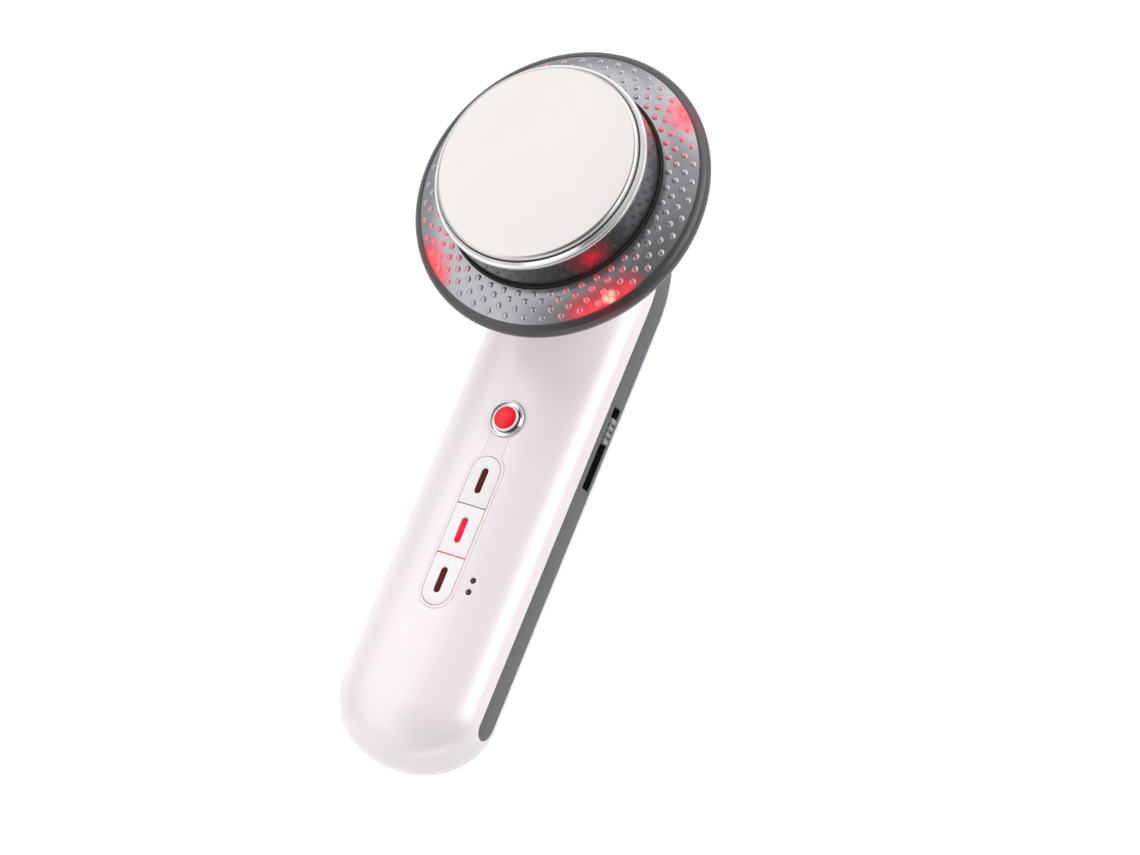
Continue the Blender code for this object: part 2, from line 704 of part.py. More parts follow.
def cover_screws():
    """Makes the four screws, head towards the back."""
    for number, (x, y) in enumerate(screw_places(), 1):
        bearing = screw_seat_z(x, y) - GAP
        profile = [(0, screw_top_z()), (SCREW_SHANK_RADIUS, screw_top_z() - SCREW_SHANK_RADIUS),
                   (SCREW_SHANK_RADIUS, bearing), (SCREW_HEAD_RADIUS, bearing),
                   (SCREW_HEAD_RADIUS, bearing - SCREW_HEAD_HEIGHT), (0, bearing - SCREW_HEAD_HEIGHT)]
        screw = turned(f"cover_screw_{number}", profile, SMALL_STEPS)
        screw.location = (x, y, 0)
        finish(screw, (0.55, 0.55, 0.56), 0.35, 1.0)


def ring_face_height(radius):
    """Returns the height of the light ring's face at a radius."""
    share = (radius - RING_BORE_RADIUS) / (RING_FACE_RADIUS - RING_BORE_RADIUS)
    return RING_RISE * (1 - share ** RING_CURVE)


def light_ring():
    """Makes the smoked light ring: domed face, rounded rim and thin skirt."""
    radii = [RING_BORE_RADIUS + (RING_FACE_RADIUS - RING_BORE_RADIUS) * i / RING_BANDS
             for i in range(RING_BANDS + 1)]
    face = [(radius, ring_face_height(radius)) for radius in radii]
    rim = [(RING_FACE_RADIUS + RING_EDGE * out, -RING_DEPTH * down) for out, down in RIM_PROFILE_SHARES]
    under = [(RING_FACE_RADIUS - RING_SKIRT_WALL / 2, -RING_DEPTH), (SKIRT_INNER_RADIUS, -RING_DEPTH),
             (SKIRT_INNER_RADIUS, ring_face_height(SKIRT_INNER_RADIUS) - RING_WALL),
             (RING_BORE_RADIUS, RING_RISE - RING_WALL)]
    ring = turned("light_ring", face + rim + under, frame=HEAD_FRAME)
    return finish(ring, (0.22, 0.22, 0.24), 0.25, 0.0, 0.3)


def probe_collar():
    """Makes the smoked collar: a tube with a stepped top and a flange at its foot."""
    inner = COLLAR_RADIUS - COLLAR_WALL
    flange = COLLAR_RADIUS + FLANGE_OVERHANG
    foot = -FLANGE_DEPTH - FLANGE_THICKNESS
    profile = [(plate_radius() + FIT, COLLAR_HEIGHT), (COLLAR_RADIUS, COLLAR_HEIGHT),
               (COLLAR_RADIUS, -FLANGE_DEPTH), (flange, -FLANGE_DEPTH), (flange, foot), (inner, foot),
               (inner, COLLAR_HEIGHT - COLLAR_STEP), (plate_radius() + FIT, COLLAR_HEIGHT - COLLAR_STEP)]
    return finish(turned("probe_collar", profile, frame=HEAD_FRAME), (0.05, 0.05, 0.055), 0.12)


def plate_radius():
    """Returns the outer radius of the treatment plate's skirt."""
    return COLLAR_RADIUS + BEZEL_OVERHANG - BEZEL_WIDTH - FIT - INSULATOR_WIDTH - FIT


def collar_seal():
    """Makes the black seal between collar and light ring."""
    inner = COLLAR_RADIUS + FIT
    outer = inner + SEAL_WIDTH
    low = RING_RISE - RING_WALL
    profile = [(inner, SEAL_HEIGHT), (outer, SEAL_HEIGHT - SEAL_WIDTH), (outer, low), (inner, low)]
    return finish(turned("collar_seal", profile, frame=HEAD_FRAME), (0.01, 0.01, 0.01), 0.6)


def edge_arc(radius, top, size):
    """Returns a quarter round from a flat top down to a side."""
    angles = [math.pi / 2 * i / EDGE_ARC_STEPS for i in range(EDGE_ARC_STEPS + 1)]
    return [(radius - size + size * math.sin(a), top - size + size * math.cos(a)) for a in angles]


def probe_bezel():
    """Makes the steel ring round the plate."""
    outer = COLLAR_RADIUS + BEZEL_OVERHANG
    inner = outer - BEZEL_WIDTH
    low = COLLAR_HEIGHT + FIT
    top = low + BEZEL_HEIGHT
    profile = edge_arc(outer, top, BEZEL_WIDTH / 2) + [(outer, low), (inner, low), (inner, top)]
    return finish(turned("probe_bezel", profile, frame=HEAD_FRAME), (0.75, 0.74, 0.73), 0.12, 1.0)


def insulating_ring():
    """Makes the thin ring that keeps plate and bezel apart."""
    inner = plate_radius() + FIT
    low = COLLAR_HEIGHT + FIT
    top = low + BEZEL_HEIGHT + INSULATOR_STANDOUT
    ring = turned("insulating_ring", tube_profile(inner + INSULATOR_WIDTH, inner, top, low), frame=HEAD_FRAME)
    return finish(ring, (0.02, 0.02, 0.02), 0.5)


def probe_plate():
    """Makes the steel treatment plate as a shallow cup."""
    radius = plate_radius()
    low = COLLAR_HEIGHT - COLLAR_STEP + FIT
    profile = edge_arc(radius, PLATE_HEIGHT, PLATE_EDGE)
    profile += [(radius, low), (radius - PLATE_WALL, low), (radius - PLATE_WALL, PLATE_HEIGHT - PLATE_WALL)]
    plate = turned("probe_plate", profile, frame=HEAD_FRAME, closed=False)
    return finish(capped(plate), (0.80, 0.78, 0.77), 0.16, 1.0)


def piezo_top():
    """Returns the height of the piezo disc's upper face."""
    return PLATE_HEIGHT - PLATE_WALL - FIT


def piezo_disc():
    """Makes the ultrasonic ceramic under the plate."""
    top = piezo_top()
    profile = [(0, top), (PIEZO_RADIUS, top), (PIEZO_RADIUS, top - PIEZO_THICKNESS), (0, top - PIEZO_THICKNESS)]
    disc = turned("piezo_disc", profile, POWER_STEPS, frame=HEAD_FRAME)
    return finish(disc, (0.62, 0.58, 0.50), 0.4)


def housing_rim_radius():
    """Returns the outer radius of the housing's rim inside the ring's skirt."""
    return SKIRT_INNER_RADIUS - GAP


def housing_bore_radius():
    """Returns the inner radius of the housing's rim."""
    return housing_rim_radius() - HOUSING_RIM_WALL


def probe_clamp_ring():
    """Makes the ring that holds the collar's flange down."""
    outer = housing_bore_radius() - GAP
    low = -FLANGE_DEPTH + GAP
    clamp = turned("probe_clamp_ring", tube_profile(outer, outer - CLAMP_WIDTH, low + CLAMP_THICKNESS, low),
                   frame=HEAD_FRAME)
    return finish(clamp, (0.12, 0.12, 0.12), 0.5)


def lamp_board_low():
    """Returns the height of the lamp board's underside."""
    return -RING_DEPTH + GAP


def lamp_board():
    """Makes the ring-shaped board under the light ring."""
    outer = housing_rim_radius()
    low = lamp_board_low()
    board = turned("lamp_board", tube_profile(outer, outer - LAMP_BOARD_WIDTH, low + LAMP_BOARD_THICKNESS, low),
                   frame=HEAD_FRAME)
    return finish(board, (0.03, 0.20, 0.08), 0.4)


def ring_lamps():
    """Makes the lamps round the ring, half way between the handle's directions."""
    low = lamp_board_low() + LAMP_BOARD_THICKNESS + GAP
    reach = housing_rim_radius() - RING_LAMP_EDGE
    for number in range(RING_LAMP_COUNT):
        angle = math.tau * (number + 1 / 2) / RING_LAMP_COUNT
        top = low + RING_LAMP_HEIGHT
        profile = [(0, top)] + edge_arc(RING_LAMP_RADIUS, top, RING_LAMP_RADIUS / 2)
        profile += [(RING_LAMP_RADIUS, low), (0, low)]
        place = Matrix.Translation((reach * math.cos(angle), reach * math.sin(angle), 0))
        lamp = turned(f"ring_lamp_{number + 1}", profile, SMALL_STEPS, frame=HEAD_FRAME @ place)
        finish(lamp, (0.9, 0.05, 0.03), 0.2)


def head_housing():
    """Makes the bowl that carries the head, with its spigot through the front cover."""
    rim = housing_rim_radius()
    bore = housing_bore_radius()
    shoulder = rim + HOUSING_SHOULDER
    rim_top = -RING_DEPTH
    shelf = -RING_DEPTH - GAP
    fall = BOWL_DEPTH - BOWL_TOP_DEPTH
    spread = shoulder - NECK_RADIUS
    bowl = [(NECK_RADIUS + spread * out, -BOWL_TOP_DEPTH - fall * down) for out, down in BOWL_PROFILE_SHARES]
    flange_seat = -FLANGE_DEPTH - FLANGE_THICKNESS - GAP
    flange_bore = COLLAR_RADIUS + FLANGE_OVERHANG + GAP
    throat = COLLAR_RADIUS - COLLAR_WALL - HOUSING_WALL / 2
    floor = -HEAD_RISE + GAP + HOUSING_WALL
    inner = [(NECK_BORE_RADIUS, floor), (throat - HOUSING_FLOOR_MARGIN, floor)]
    profile = [(rim, rim_top), (rim, shelf), (shoulder, shelf), (shoulder, -BOWL_TOP_DEPTH)] + bowl
    profile += [(NECK_RADIUS, -BOWL_DEPTH), (NECK_RADIUS, -SPIGOT_DEPTH), (NECK_BORE_RADIUS, -SPIGOT_DEPTH)]
    profile += inner + [(throat, flange_seat - HOUSING_WALL), (throat, flange_seat), (flange_bore, flange_seat),
                        (flange_bore, -FLANGE_DEPTH), (bore, -FLANGE_DEPTH), (bore, rim_top)]
    housing = turned("head_housing", profile, frame=HEAD_FRAME)
    around = body_solid("handle_clearance", -GAP)
    core = turned("spigot_core", [(0, OVERRUN), (SPIGOT_RADIUS, OVERRUN), (SPIGOT_RADIUS, -SPIGOT_DEPTH - OVERRUN),
                                  (0, -SPIGOT_DEPTH - OVERRUN)], HEAD_STEPS, CUTTERS, HEAD_FRAME)
    combine(around, core, "DIFFERENCE")
    combine(housing, around, "DIFFERENCE")
    return finish(housing, (0.86, 0.82, 0.84), 0.3)


def neck_nut():
    """Makes the nut that holds the head's spigot in the front cover."""
    inner = SPIGOT_RADIUS + FIT
    top = -NECK_BOSS_DEPTH - GAP
    nut = turned("neck_nut", tube_profile(inner + NUT_WIDTH, inner, top, top - NUT_THICKNESS),
                 POWER_STEPS, frame=HEAD_FRAME)
    return finish(nut, (0.6, 0.6, 0.6), 0.4, 1.0)


def power_cap_radius():
    """Returns the radius of the power button's cap."""
    return POWER_BEZEL_RADIUS - POWER_BEZEL_WIDTH - GAP


def power_bezel():
    """Makes the chrome ring round the power button."""
    inner = POWER_BEZEL_RADIUS - POWER_BEZEL_WIDTH
    seat = FRONT_Z - POWER_BEZEL_SEAT
    top = FRONT_Z + POWER_BEZEL_PROUD
    profile = edge_arc(POWER_BEZEL_RADIUS, top, POWER_BEZEL_WIDTH * 2 / 3)
    profile += [(POWER_BEZEL_RADIUS, seat), (inner, seat), (inner, top)]
    ring = turned("power_bezel", profile, POWER_STEPS)
    ring.location = (0, POWER_Y, 0)
    return finish(ring, (0.75, 0.75, 0.76), 0.08, 1.0)


def power_button():
    """Makes the power button: cap, flange under the cover, stem and a seat for its lens."""
    radius = power_cap_radius()
    top = FRONT_Z + POWER_CAP_PROUD
    lens = radius - POWER_LENS_MARGIN
    flange = radius + GAP + KEY_FLANGE_MARGIN
    under = FLANGE_TOP_Z - KEY_FLANGE_THICKNESS
    stem_end = PLUNGER_TOP_Z + GAP
    profile = [(0, top - POWER_LENS_DEPTH), (lens, top - POWER_LENS_DEPTH), (lens, top), (radius, top),
               (radius, FLANGE_TOP_Z), (flange, FLANGE_TOP_Z), (flange, under), (KEY_STEM_RADIUS, under),
               (KEY_STEM_RADIUS, stem_end), (0, stem_end)]
    cap = turned("power_button", profile, POWER_STEPS)
    cap.location = (0, POWER_Y, 0)
    return finish(cap, (0.88, 0.86, 0.87), 0.3)


def power_lens():
    """Makes the domed red lens in the power button."""
    radius = power_cap_radius() - POWER_LENS_MARGIN - FIT
    low = FRONT_Z + POWER_CAP_PROUD - POWER_LENS_DEPTH + FIT
    shoulder = FRONT_Z + POWER_CAP_PROUD
    dome = [(radius * math.sin(math.pi / 2 * i / EDGE_ARC_STEPS),
             shoulder + POWER_LENS_DOME * math.cos(math.pi / 2 * i / EDGE_ARC_STEPS))
            for i in range(EDGE_ARC_STEPS + 1)]
    lens = turned("power_lens", dome + [(radius, low), (0, low)], POWER_STEPS)
    lens.location = (0, POWER_Y, 0)
    return finish(lens, (0.85, 0.02, 0.04), 0.1)


def control_panel():
    """Makes the keyhole-shaped inlay with its two holes."""
    high = FRONT_Z + PANEL_PROUD
    panel = prism("control_panel", keyhole_outline(PANEL_MARGIN), high - PANEL_THICKNESS, high + OVERRUN)
    combine(panel, body_solid("panel_skin", -PANEL_PROUD), "INTERSECT")
    strip = prism("panel_strip_hole", pill_outline(STRIP_HALF_WIDTH, STRIP_BOTTOM_Y, STRIP_TOP_Y),
                  high - PANEL_THICKNESS - OVERRUN, high + OVERRUN, CUTTERS)
    power = cylinder("panel_power_hole", POWER_BEZEL_RADIUS + FIT, (0, POWER_Y, high - PANEL_THICKNESS - OVERRUN),
                     (0, POWER_Y, high + OVERRUN), POWER_STEPS, CUTTERS)
    combine(panel, strip, "DIFFERENCE")
    combine(panel, power, "DIFFERENCE")
    return finish(panel, (0.90, 0.83, 0.85), 0.35)


def key_span(number):
    """Returns the lower and upper Y of a key's cell in the strip."""
    high = STRIP_TOP_Y - number * KEY_PITCH
    return high - KEY_PITCH, high


def key_stem_y(number):
    """Returns where a key's stem stands along the handle."""
    low, high = key_span(number)
    return (low + high) / 2 - KEY_STEM_OFFSET


def strip_key(number, name):
    """Makes one key of the strip: top, flange, stem and the slot for its window."""
    low, high = key_span(number)
    first = number == 0
    last = number == KEY_COUNT - 1
    low_y = low + (GAP if last else FIT)
    high_y = high - (GAP if first else FIT)
    half_width = STRIP_HALF_WIDTH - GAP
    top = FRONT_Z + KEY_PROUD
    outline = pill_outline(half_width, low_y, high_y, 0, last, first)
    key = prism(name + "_key", outline, FLANGE_TOP_Z - KEY_FLANGE_THICKNESS / 2, top + OVERRUN)
    combine(key, body_solid(name + "_skin", -KEY_PROUD), "INTERSECT")
    inset = STRIP_HALF_WIDTH
    reach = STRIP_HALF_WIDTH + KEY_FLANGE_MARGIN
    flange = box(name + "_flange", (-reach, low_y + (inset if last else 0), FLANGE_TOP_Z - KEY_FLANGE_THICKNESS),
                 (reach, high_y - (inset if first else 0), FLANGE_TOP_Z), CUTTERS)
    stem_y = key_stem_y(number)
    stem = cylinder(name + "_stem", KEY_STEM_RADIUS, (0, stem_y, PLUNGER_TOP_Z + GAP),
                    (0, stem_y, FLANGE_TOP_Z + KEY_PROUD), SMALL_STEPS, CUTTERS)
    window = window_solid(name + "_window_slot", number, FIT, FLANGE_TOP_Z - OVERRUN, top + OVERRUN, CUTTERS)
    combine(key, flange, "UNION")
    combine(key, stem, "UNION")
    combine(key, window, "DIFFERENCE")
    return finish(key, (0.90, 0.87, 0.88), 0.35)


def window_solid(name, number, grow, low_z, high_z, collection=PARTS):
    """Makes a slot-shaped solid at a key's window."""
    low, high = key_span(number)
    middle = (low + high) / 2
    half = WINDOW_LENGTH / 2 + grow
    outline = pill_outline(WINDOW_WIDTH / 2 + grow, middle - half, middle + half)
    return prism(name, outline, low_z, high_z, collection)


def key_window(number, name):
    """Makes the light window of a key."""
    top = FRONT_Z + KEY_PROUD
    window = window_solid(name + "_window", number, 0, top - WINDOW_DEPTH, top)
    return finish(window, (0.55, 0.02, 0.06), 0.2)


def lamp_places():
    """Returns the Y places of the level lamps, high and low."""
    return POWER_Y - HIGH_LAMP_BELOW_POWER, POWER_Y - LOW_LAMP_BELOW_POWER


def level_lamp_solid(name, y, grow, cutter=False):
    """Makes a level lamp's lens or, grown, the cutter of its hole."""
    surface = front_surface_z(LEVEL_LAMP_X, y)
    top = surface + OVERRUN if cutter else surface - LEVEL_LAMP_SUNK
    low = surface - LEVEL_LAMP_DEPTH - (OVERRUN if cutter else 0)
    return cylinder(name, LEVEL_LAMP_RADIUS + grow, (LEVEL_LAMP_X, y, low), (LEVEL_LAMP_X, y, top),
                    SMALL_STEPS, CUTTERS if cutter else PARTS)


def level_lamps():
    """Makes the two small lenses beside the lowest key."""
    for name, y in zip(("high", "low"), lamp_places()):
        finish(level_lamp_solid(name + "_lamp_lens", y, 0), (0.25, 0.01, 0.02), 0.2)


def key_switch(name, y):
    """Makes a tactile switch on the board with its plunger under a stem."""
    half = SWITCH_SIDE / 2
    body = box(name + "_switch", (-half, y - half, BOARD_TOP_Z + GAP), (half, y + half, SWITCH_TOP_Z))
    floor = PLUNGER_TOP_Z - PLUNGER_LENGTH - KEY_TRAVEL - GAP
    bore = cylinder(name + "_switch_bore", PLUNGER_RADIUS + FIT, (0, y, floor), (0, y, SWITCH_TOP_Z + OVERRUN),
                    SMALL_STEPS, CUTTERS)
    combine(body, bore, "DIFFERENCE")
    finish(body, (0.03, 0.03, 0.03), 0.5)
    plunger = cylinder(name + "_plunger", PLUNGER_RADIUS, (0, y, PLUNGER_TOP_Z - PLUNGER_LENGTH),
                       (0, y, PLUNGER_TOP_Z))
    finish(plunger, (0.75, 0.72, 0.65), 0.5)


def board_ends():
    """Returns the lower and upper Y of the main board."""
    low = LOWER_END_Y + BOARD_LOWER_ROOM
    high = POWER_Y + SCREW_UPPER_ABOVE_POWER + BOSS_RADIUS + BOARD_HEAD_MARGIN
    return low, high


def main_board():
    """Makes the circuit board with clearance holes for the screw bosses."""
    low, high = board_ends()
    board = box("main_board", (-BOARD_HALF_WIDTH, low, BOARD_UNDER_Z), (BOARD_HALF_WIDTH, high, BOARD_TOP_Z))
    holes = [cylinder("hole", BOSS_RADIUS + GAP, (x, y, BOARD_UNDER_Z - OVERRUN), (x, y, BOARD_TOP_Z + OVERRUN),
                      SMALL_STEPS, CUTTERS) for x, y in screw_places()]
    combine(board, joined("board_holes", holes), "DIFFERENCE")
    return finish(board, (0.03, 0.22, 0.09), 0.4)


def key_lamps():
    """Makes the lamps on the board under the key windows."""
    for number, name in enumerate(KEY_NAMES):
        low, high = key_span(number)
        y = (low + high) / 2 + KEY_LAMP_OFFSET
        half_width = KEY_LAMP_WIDTH / 2
        half_length = KEY_LAMP_LENGTH / 2
        base = BOARD_TOP_Z + GAP
        lamp = box(name + "_lamp", (-half_width, y - half_length, base),
                   (half_width, y + half_length, base + KEY_LAMP_HEIGHT))
        finish(lamp, (0.9, 0.3, 0.3), 0.3)


def control_chip():
    """Makes the controller on the board above the power button."""
    y = POWER_Y + CHIP_ABOVE_POWER
    half = CHIP_SIDE / 2
    base = BOARD_TOP_Z + GAP
    chip = box("control_chip", (-half, y - half, base), (half, y + half, base + CHIP_HEIGHT))
    return finish(chip, (0.02, 0.02, 0.02), 0.4)


def transformer():
    """Makes the step-up transformer: a block core with its winding standing proud at both ends."""
    y = POWER_Y - TRANSFORMER_BELOW_POWER
    top = BOARD_UNDER_Z - GAP
    low = top - TRANSFORMER_HEIGHT
    half_width = TRANSFORMER_WIDTH / 2
    half_length = TRANSFORMER_LENGTH / 2
    core = box("transformer", (-half_width, y - half_length * WINDING_SHARE, low),
               (half_width, y + half_length * WINDING_SHARE, top))
    rise = TRANSFORMER_HEIGHT * (1 - WINDING_SHARE) / 2
    winding = box("transformer_winding", (-half_width * WINDING_SHARE, y - half_length, low + rise),
                  (half_width * WINDING_SHARE, y + half_length, top - rise), CUTTERS)
    combine(core, winding, "UNION")
    return finish(core, (0.45, 0.35, 0.12), 0.5)


def drive_inductor():
    """Makes the drum coil of the ultrasonic driver."""
    top = BOARD_UNDER_Z - GAP
    low = top - INDUCTOR_HEIGHT
    waist = INDUCTOR_RADIUS - INDUCTOR_GROOVE
    profile = [(0, top), (INDUCTOR_RADIUS, top), (INDUCTOR_RADIUS, top - INDUCTOR_FLANGE),
               (waist, top - INDUCTOR_FLANGE), (waist, low + INDUCTOR_FLANGE),
               (INDUCTOR_RADIUS, low + INDUCTOR_FLANGE), (INDUCTOR_RADIUS, low), (0, low)]
    coil = turned("drive_inductor", profile, SMALL_STEPS)
    coil.location = (0, POWER_Y - INDUCTOR_BELOW_POWER, 0)
    return finish(coil, (0.35, 0.20, 0.08), 0.4)


def supply_capacitor():
    """Makes the lying electrolytic capacitor under the board."""
    y = POWER_Y - CAPACITOR_BELOW_POWER
    z = BOARD_UNDER_Z - GAP - CAPACITOR_RADIUS
    half = CAPACITOR_LENGTH / 2
    can = cylinder("supply_capacitor", CAPACITOR_RADIUS, (0, y - half, z), (0, y + half, z))
    return finish(can, (0.05, 0.06, 0.12), 0.3)


def socket_z():
    """Returns the height of the inlet's axis."""
    return BOARD_UNDER_Z - GAP - SOCKET_HEIGHT / 2


def socket_front_y():
    """Returns the Y of the inlet body's front face, just inside the cover's end."""
    drop = PARTING_Z - (socket_z() - SOCKET_HEIGHT / 2)
    share = (1 - min(1, drop / (REAR_DOME_DEPTH - COVER_WALL)) ** REAR_SQUARENESS) ** (1 / REAR_SQUARENESS)
    corner = SOCKET_WIDTH / 2 / (HANDLE_HALF_WIDTH - COVER_WALL)
    reach = (LOWER_END_LENGTH - COVER_WALL) * math.sqrt(max(share ** 2 - corner ** 2, 0))
    return LOWER_CENTRE_Y - reach + SOCKET_FRONT_ROOM


def dc_socket():
    """Makes the supply inlet: body, nose in the cover's hole, bore and centre pin."""
    front = socket_front_y()
    z = socket_z()
    half_width = SOCKET_WIDTH / 2
    half_height = SOCKET_HEIGHT / 2
    nose = front - SOCKET_NOSE_LENGTH
    body = box("dc_socket", (-half_width, front, z - half_height), (half_width, front + SOCKET_LENGTH, z + half_height))
    front_ring = cylinder("socket_nose", SOCKET_NOSE_RADIUS, (0, nose, z), (0, front + OVERRUN / 2, z),
                          POWER_STEPS, CUTTERS)
    bore = cylinder("socket_bore", SOCKET_BORE_RADIUS, (0, nose - OVERRUN, z), (0, nose + SOCKET_BORE_DEPTH, z),
                    POWER_STEPS, CUTTERS)
    pin = cylinder("socket_pin", SOCKET_PIN_RADIUS, (0, nose + SOCKET_PIN_INSET, z),
                   (0, nose + SOCKET_BORE_DEPTH + SOCKET_PIN_INSET, z), SMALL_STEPS, CUTTERS)
    combine(body, front_ring, "UNION")
    combine(body, bore, "DIFFERENCE")
    combine(body, pin, "UNION")
    return finish(body, (0.02, 0.02, 0.02), 0.4)


def knob_flange_x():
    """Returns the X of the knob flange's outer face."""
    return HANDLE_HALF_WIDTH - COVER_WALL - KNOB_FLANGE_ROOM


def level_knob():
    """Makes the slide knob: ribbed pad in the slot and a flange behind the cover."""
    half_height = KNOB_HALF_HEIGHT
    half_length = KNOB_LENGTH / 2
    outer = HANDLE_HALF_WIDTH + KNOB_PROUD
    inner = knob_flange_x() - KNOB_FLANGE_THICKNESS
    knob = box("level_knob", (inner, KNOB_Y - half_length, PARTING_Z - half_height),
               (outer, KNOB_Y + half_length, PARTING_Z + half_height))
    margin = KNOB_FLANGE_MARGIN
    flange = box("knob_flange", (inner, KNOB_Y - half_length - margin, PARTING_Z - half_height - margin),
                 (knob_flange_x(), KNOB_Y + half_length + margin, PARTING_Z + half_height + margin), CUTTERS)
    pitch = KNOB_LENGTH / (KNOB_GROOVES + 1)
    half_groove = KNOB_GROOVE_WIDTH / 2
    grooves = []
    for i in range(KNOB_GROOVES):
        y = KNOB_Y - half_length + pitch * (i + 1)
        grooves.append(box("groove", (outer - KNOB_GROOVE_DEPTH, y - half_groove, PARTING_Z - half_height - OVERRUN),
                           (outer + OVERRUN, y + half_groove, PARTING_Z + half_height + OVERRUN), CUTTERS))
    combine(knob, flange, "UNION")
    combine(knob, joined("knob_grooves", grooves), "DIFFERENCE")
    return finish(knob, (0.30, 0.30, 0.31), 0.5)


def slider_span():
    """Returns the inner and outer X of the switch's slider."""
    outer = knob_flange_x() - KNOB_FLANGE_THICKNESS - GAP
    return outer - SLIDER_DEPTH, outer


def level_slider():
    """Makes the moving slider of the level switch."""
    inner, outer = slider_span()
    half = SLIDER_LENGTH / 2
    slider = box("level_slider", (inner, KNOB_Y - half, PARTING_Z - SLIDER_HALF_HEIGHT),
                 (outer, KNOB_Y + half, PARTING_Z + SLIDER_HALF_HEIGHT))
    return finish(slider, (0.02, 0.02, 0.02), 0.5)


def level_switch():
    """Makes the slide switch under the board, with the channel its slider runs in."""
    inner, outer = slider_span()
    face = outer - GAP
    channel_half = SLIDER_HALF_HEIGHT + GAP
    low_y = KNOB_Y - SLIDER_LENGTH / 2 - SLOT_BELOW_KNOB - GAP
    high_y = KNOB_Y + SLIDER_LENGTH / 2 + SLOT_ABOVE_KNOB + GAP
    body = box("level_switch", (face - LEVEL_SWITCH_DEPTH, low_y - LEVEL_SWITCH_END,
                                PARTING_Z - channel_half - LEVEL_SWITCH_WALL),
               (face, high_y + LEVEL_SWITCH_END, BOARD_UNDER_Z - GAP))
    channel = box("slider_channel", (inner - GAP, low_y, PARTING_Z - channel_half),
                  (face + OVERRUN, high_y, PARTING_Z + channel_half), CUTTERS)
    combine(body, channel, "DIFFERENCE")
    return finish(body, (0.55, 0.55, 0.55), 0.35, 1.0)


def wire(name, points, colour):
    """Makes a wire as a round tube along a smooth route."""
    curve = bpy.data.curves.new(name, "CURVE")
    curve.dimensions = "3D"
    curve.bevel_depth = WIRE_RADIUS
    curve.bevel_resolution = WIRE_SIDES
    curve.use_fill_caps = True
    route = smooth_route([Vector(p) for p in points])
    spline = curve.splines.new("POLY")
    spline.points.add(len(route) - 1)
    for point, place in zip(spline.points, route):
        point.co = (*place, 1)
    return finish(link(bpy.data.objects.new(name, curve)), colour, 0.4)


def smooth_route(points, cuts=3):
    """Returns points along a smooth curve through the given ones."""
    padded = [points[0] * 2 - points[1]] + points + [points[-1] * 2 - points[-2]]
    route = []
    for a, b, c, d in zip(padded, padded[1:], padded[2:], padded[3:]):
        for i in range(cuts):
            t = i / cuts
            route.append(((b * 2) + (c - a) * t + (a * 2 - b * 5 + c * 4 - d) * t * t
                          + (b * 3 - a - c * 3 + d) * t ** 3) / 2)
    return route + [points[-1]]


def lead_route(x):
    """Returns the way from under the board, round the spigot's rim and up its bore."""
    base = BOARD_UNDER_Z - GAP - WIRE_RADIUS * 2
    end_y = board_ends()[1]
    dip = HEAD_FRAME @ Vector((x, -WIRE_BEND, -SPIGOT_DEPTH - WIRE_DIP))
    bore = HEAD_FRAME @ Vector((x, 0, -SPIGOT_DEPTH + WIRE_DIP))
    neck = HEAD_FRAME @ Vector((x, 0, -HEAD_RISE))
    return [(x, end_y - WIRE_START, base), (x, end_y, base), dip, bore, neck]


def probe_leads():
    """Makes the two wires from the board through the neck to the piezo disc."""
    for sign, name, colour in ((1, "probe_lead_plus", (0.7, 0.03, 0.03)), (-1, "probe_lead_minus", (0.03, 0.03, 0.03))):
        end = HEAD_FRAME @ Vector((sign * WIRE_SPREAD, 0, piezo_top() - PIEZO_THICKNESS - GAP))
        below = HEAD_FRAME @ Vector((sign * WIRE_SPREAD, 0, -RING_DEPTH))
        wire(name, lead_route(sign * WIRE_SPREAD / 2) + [below, end], colour)


def lamp_lead():
    """Makes the wire from the board through the neck to the lamp board's inner edge."""
    inner = COLLAR_RADIUS - COLLAR_WALL - GAP - WIRE_RADIUS * 3
    bend = HEAD_FRAME @ Vector((-inner / 2, 0, -RING_DEPTH * 2))
    rise = HEAD_FRAME @ Vector((-inner, 0, -RING_DEPTH))
    wire("lamp_lead", lead_route(-WIRE_SPREAD * 3 / 2) + [bend, rise], (0.6, 0.6, 0.6))


def build():
    """Builds the whole machine."""
    start_scene()
    slot = slot_tool("slide_slot", 0)
    recesses = [band_recess(side) for side in (1, -1)]
    front_cover(slot, recesses)
    rear_cover(slot, recesses)
    side_band("side_band_right", 1, slot)
    side_band("side_band_left", -1)
    cover_screws()
    head_housing()
    neck_nut()
    light_ring()
    probe_collar()
    collar_seal()
    probe_bezel()
    insulating_ring()
    probe_plate()
    piezo_disc()
    probe_clamp_ring()
    lamp_board()
    ring_lamps()
    power_bezel()
    power_button()
    power_lens()
    control_panel()
    key_switch("power", POWER_Y)
    for number, name in enumerate(KEY_NAMES):
        strip_key(number, name)
        key_window(number, name)
        key_switch(name, key_stem_y(number))
    level_lamps()
    key_lamps()
    main_board()
    control_chip()
    transformer()
    drive_inductor()
    supply_capacitor()
    dc_socket()
    level_knob()
    level_slider()
    level_switch()
    probe_leads()
    lamp_lead()


build()
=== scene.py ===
"""Looks of a hand-held facial treatment machine: oval handle, key strip, slide switch and lit treatment head."""

import json
import logging
import math
from dataclasses import dataclass, field
from enum import Enum

import bmesh
import bpy
from mathutils import Matrix, Vector

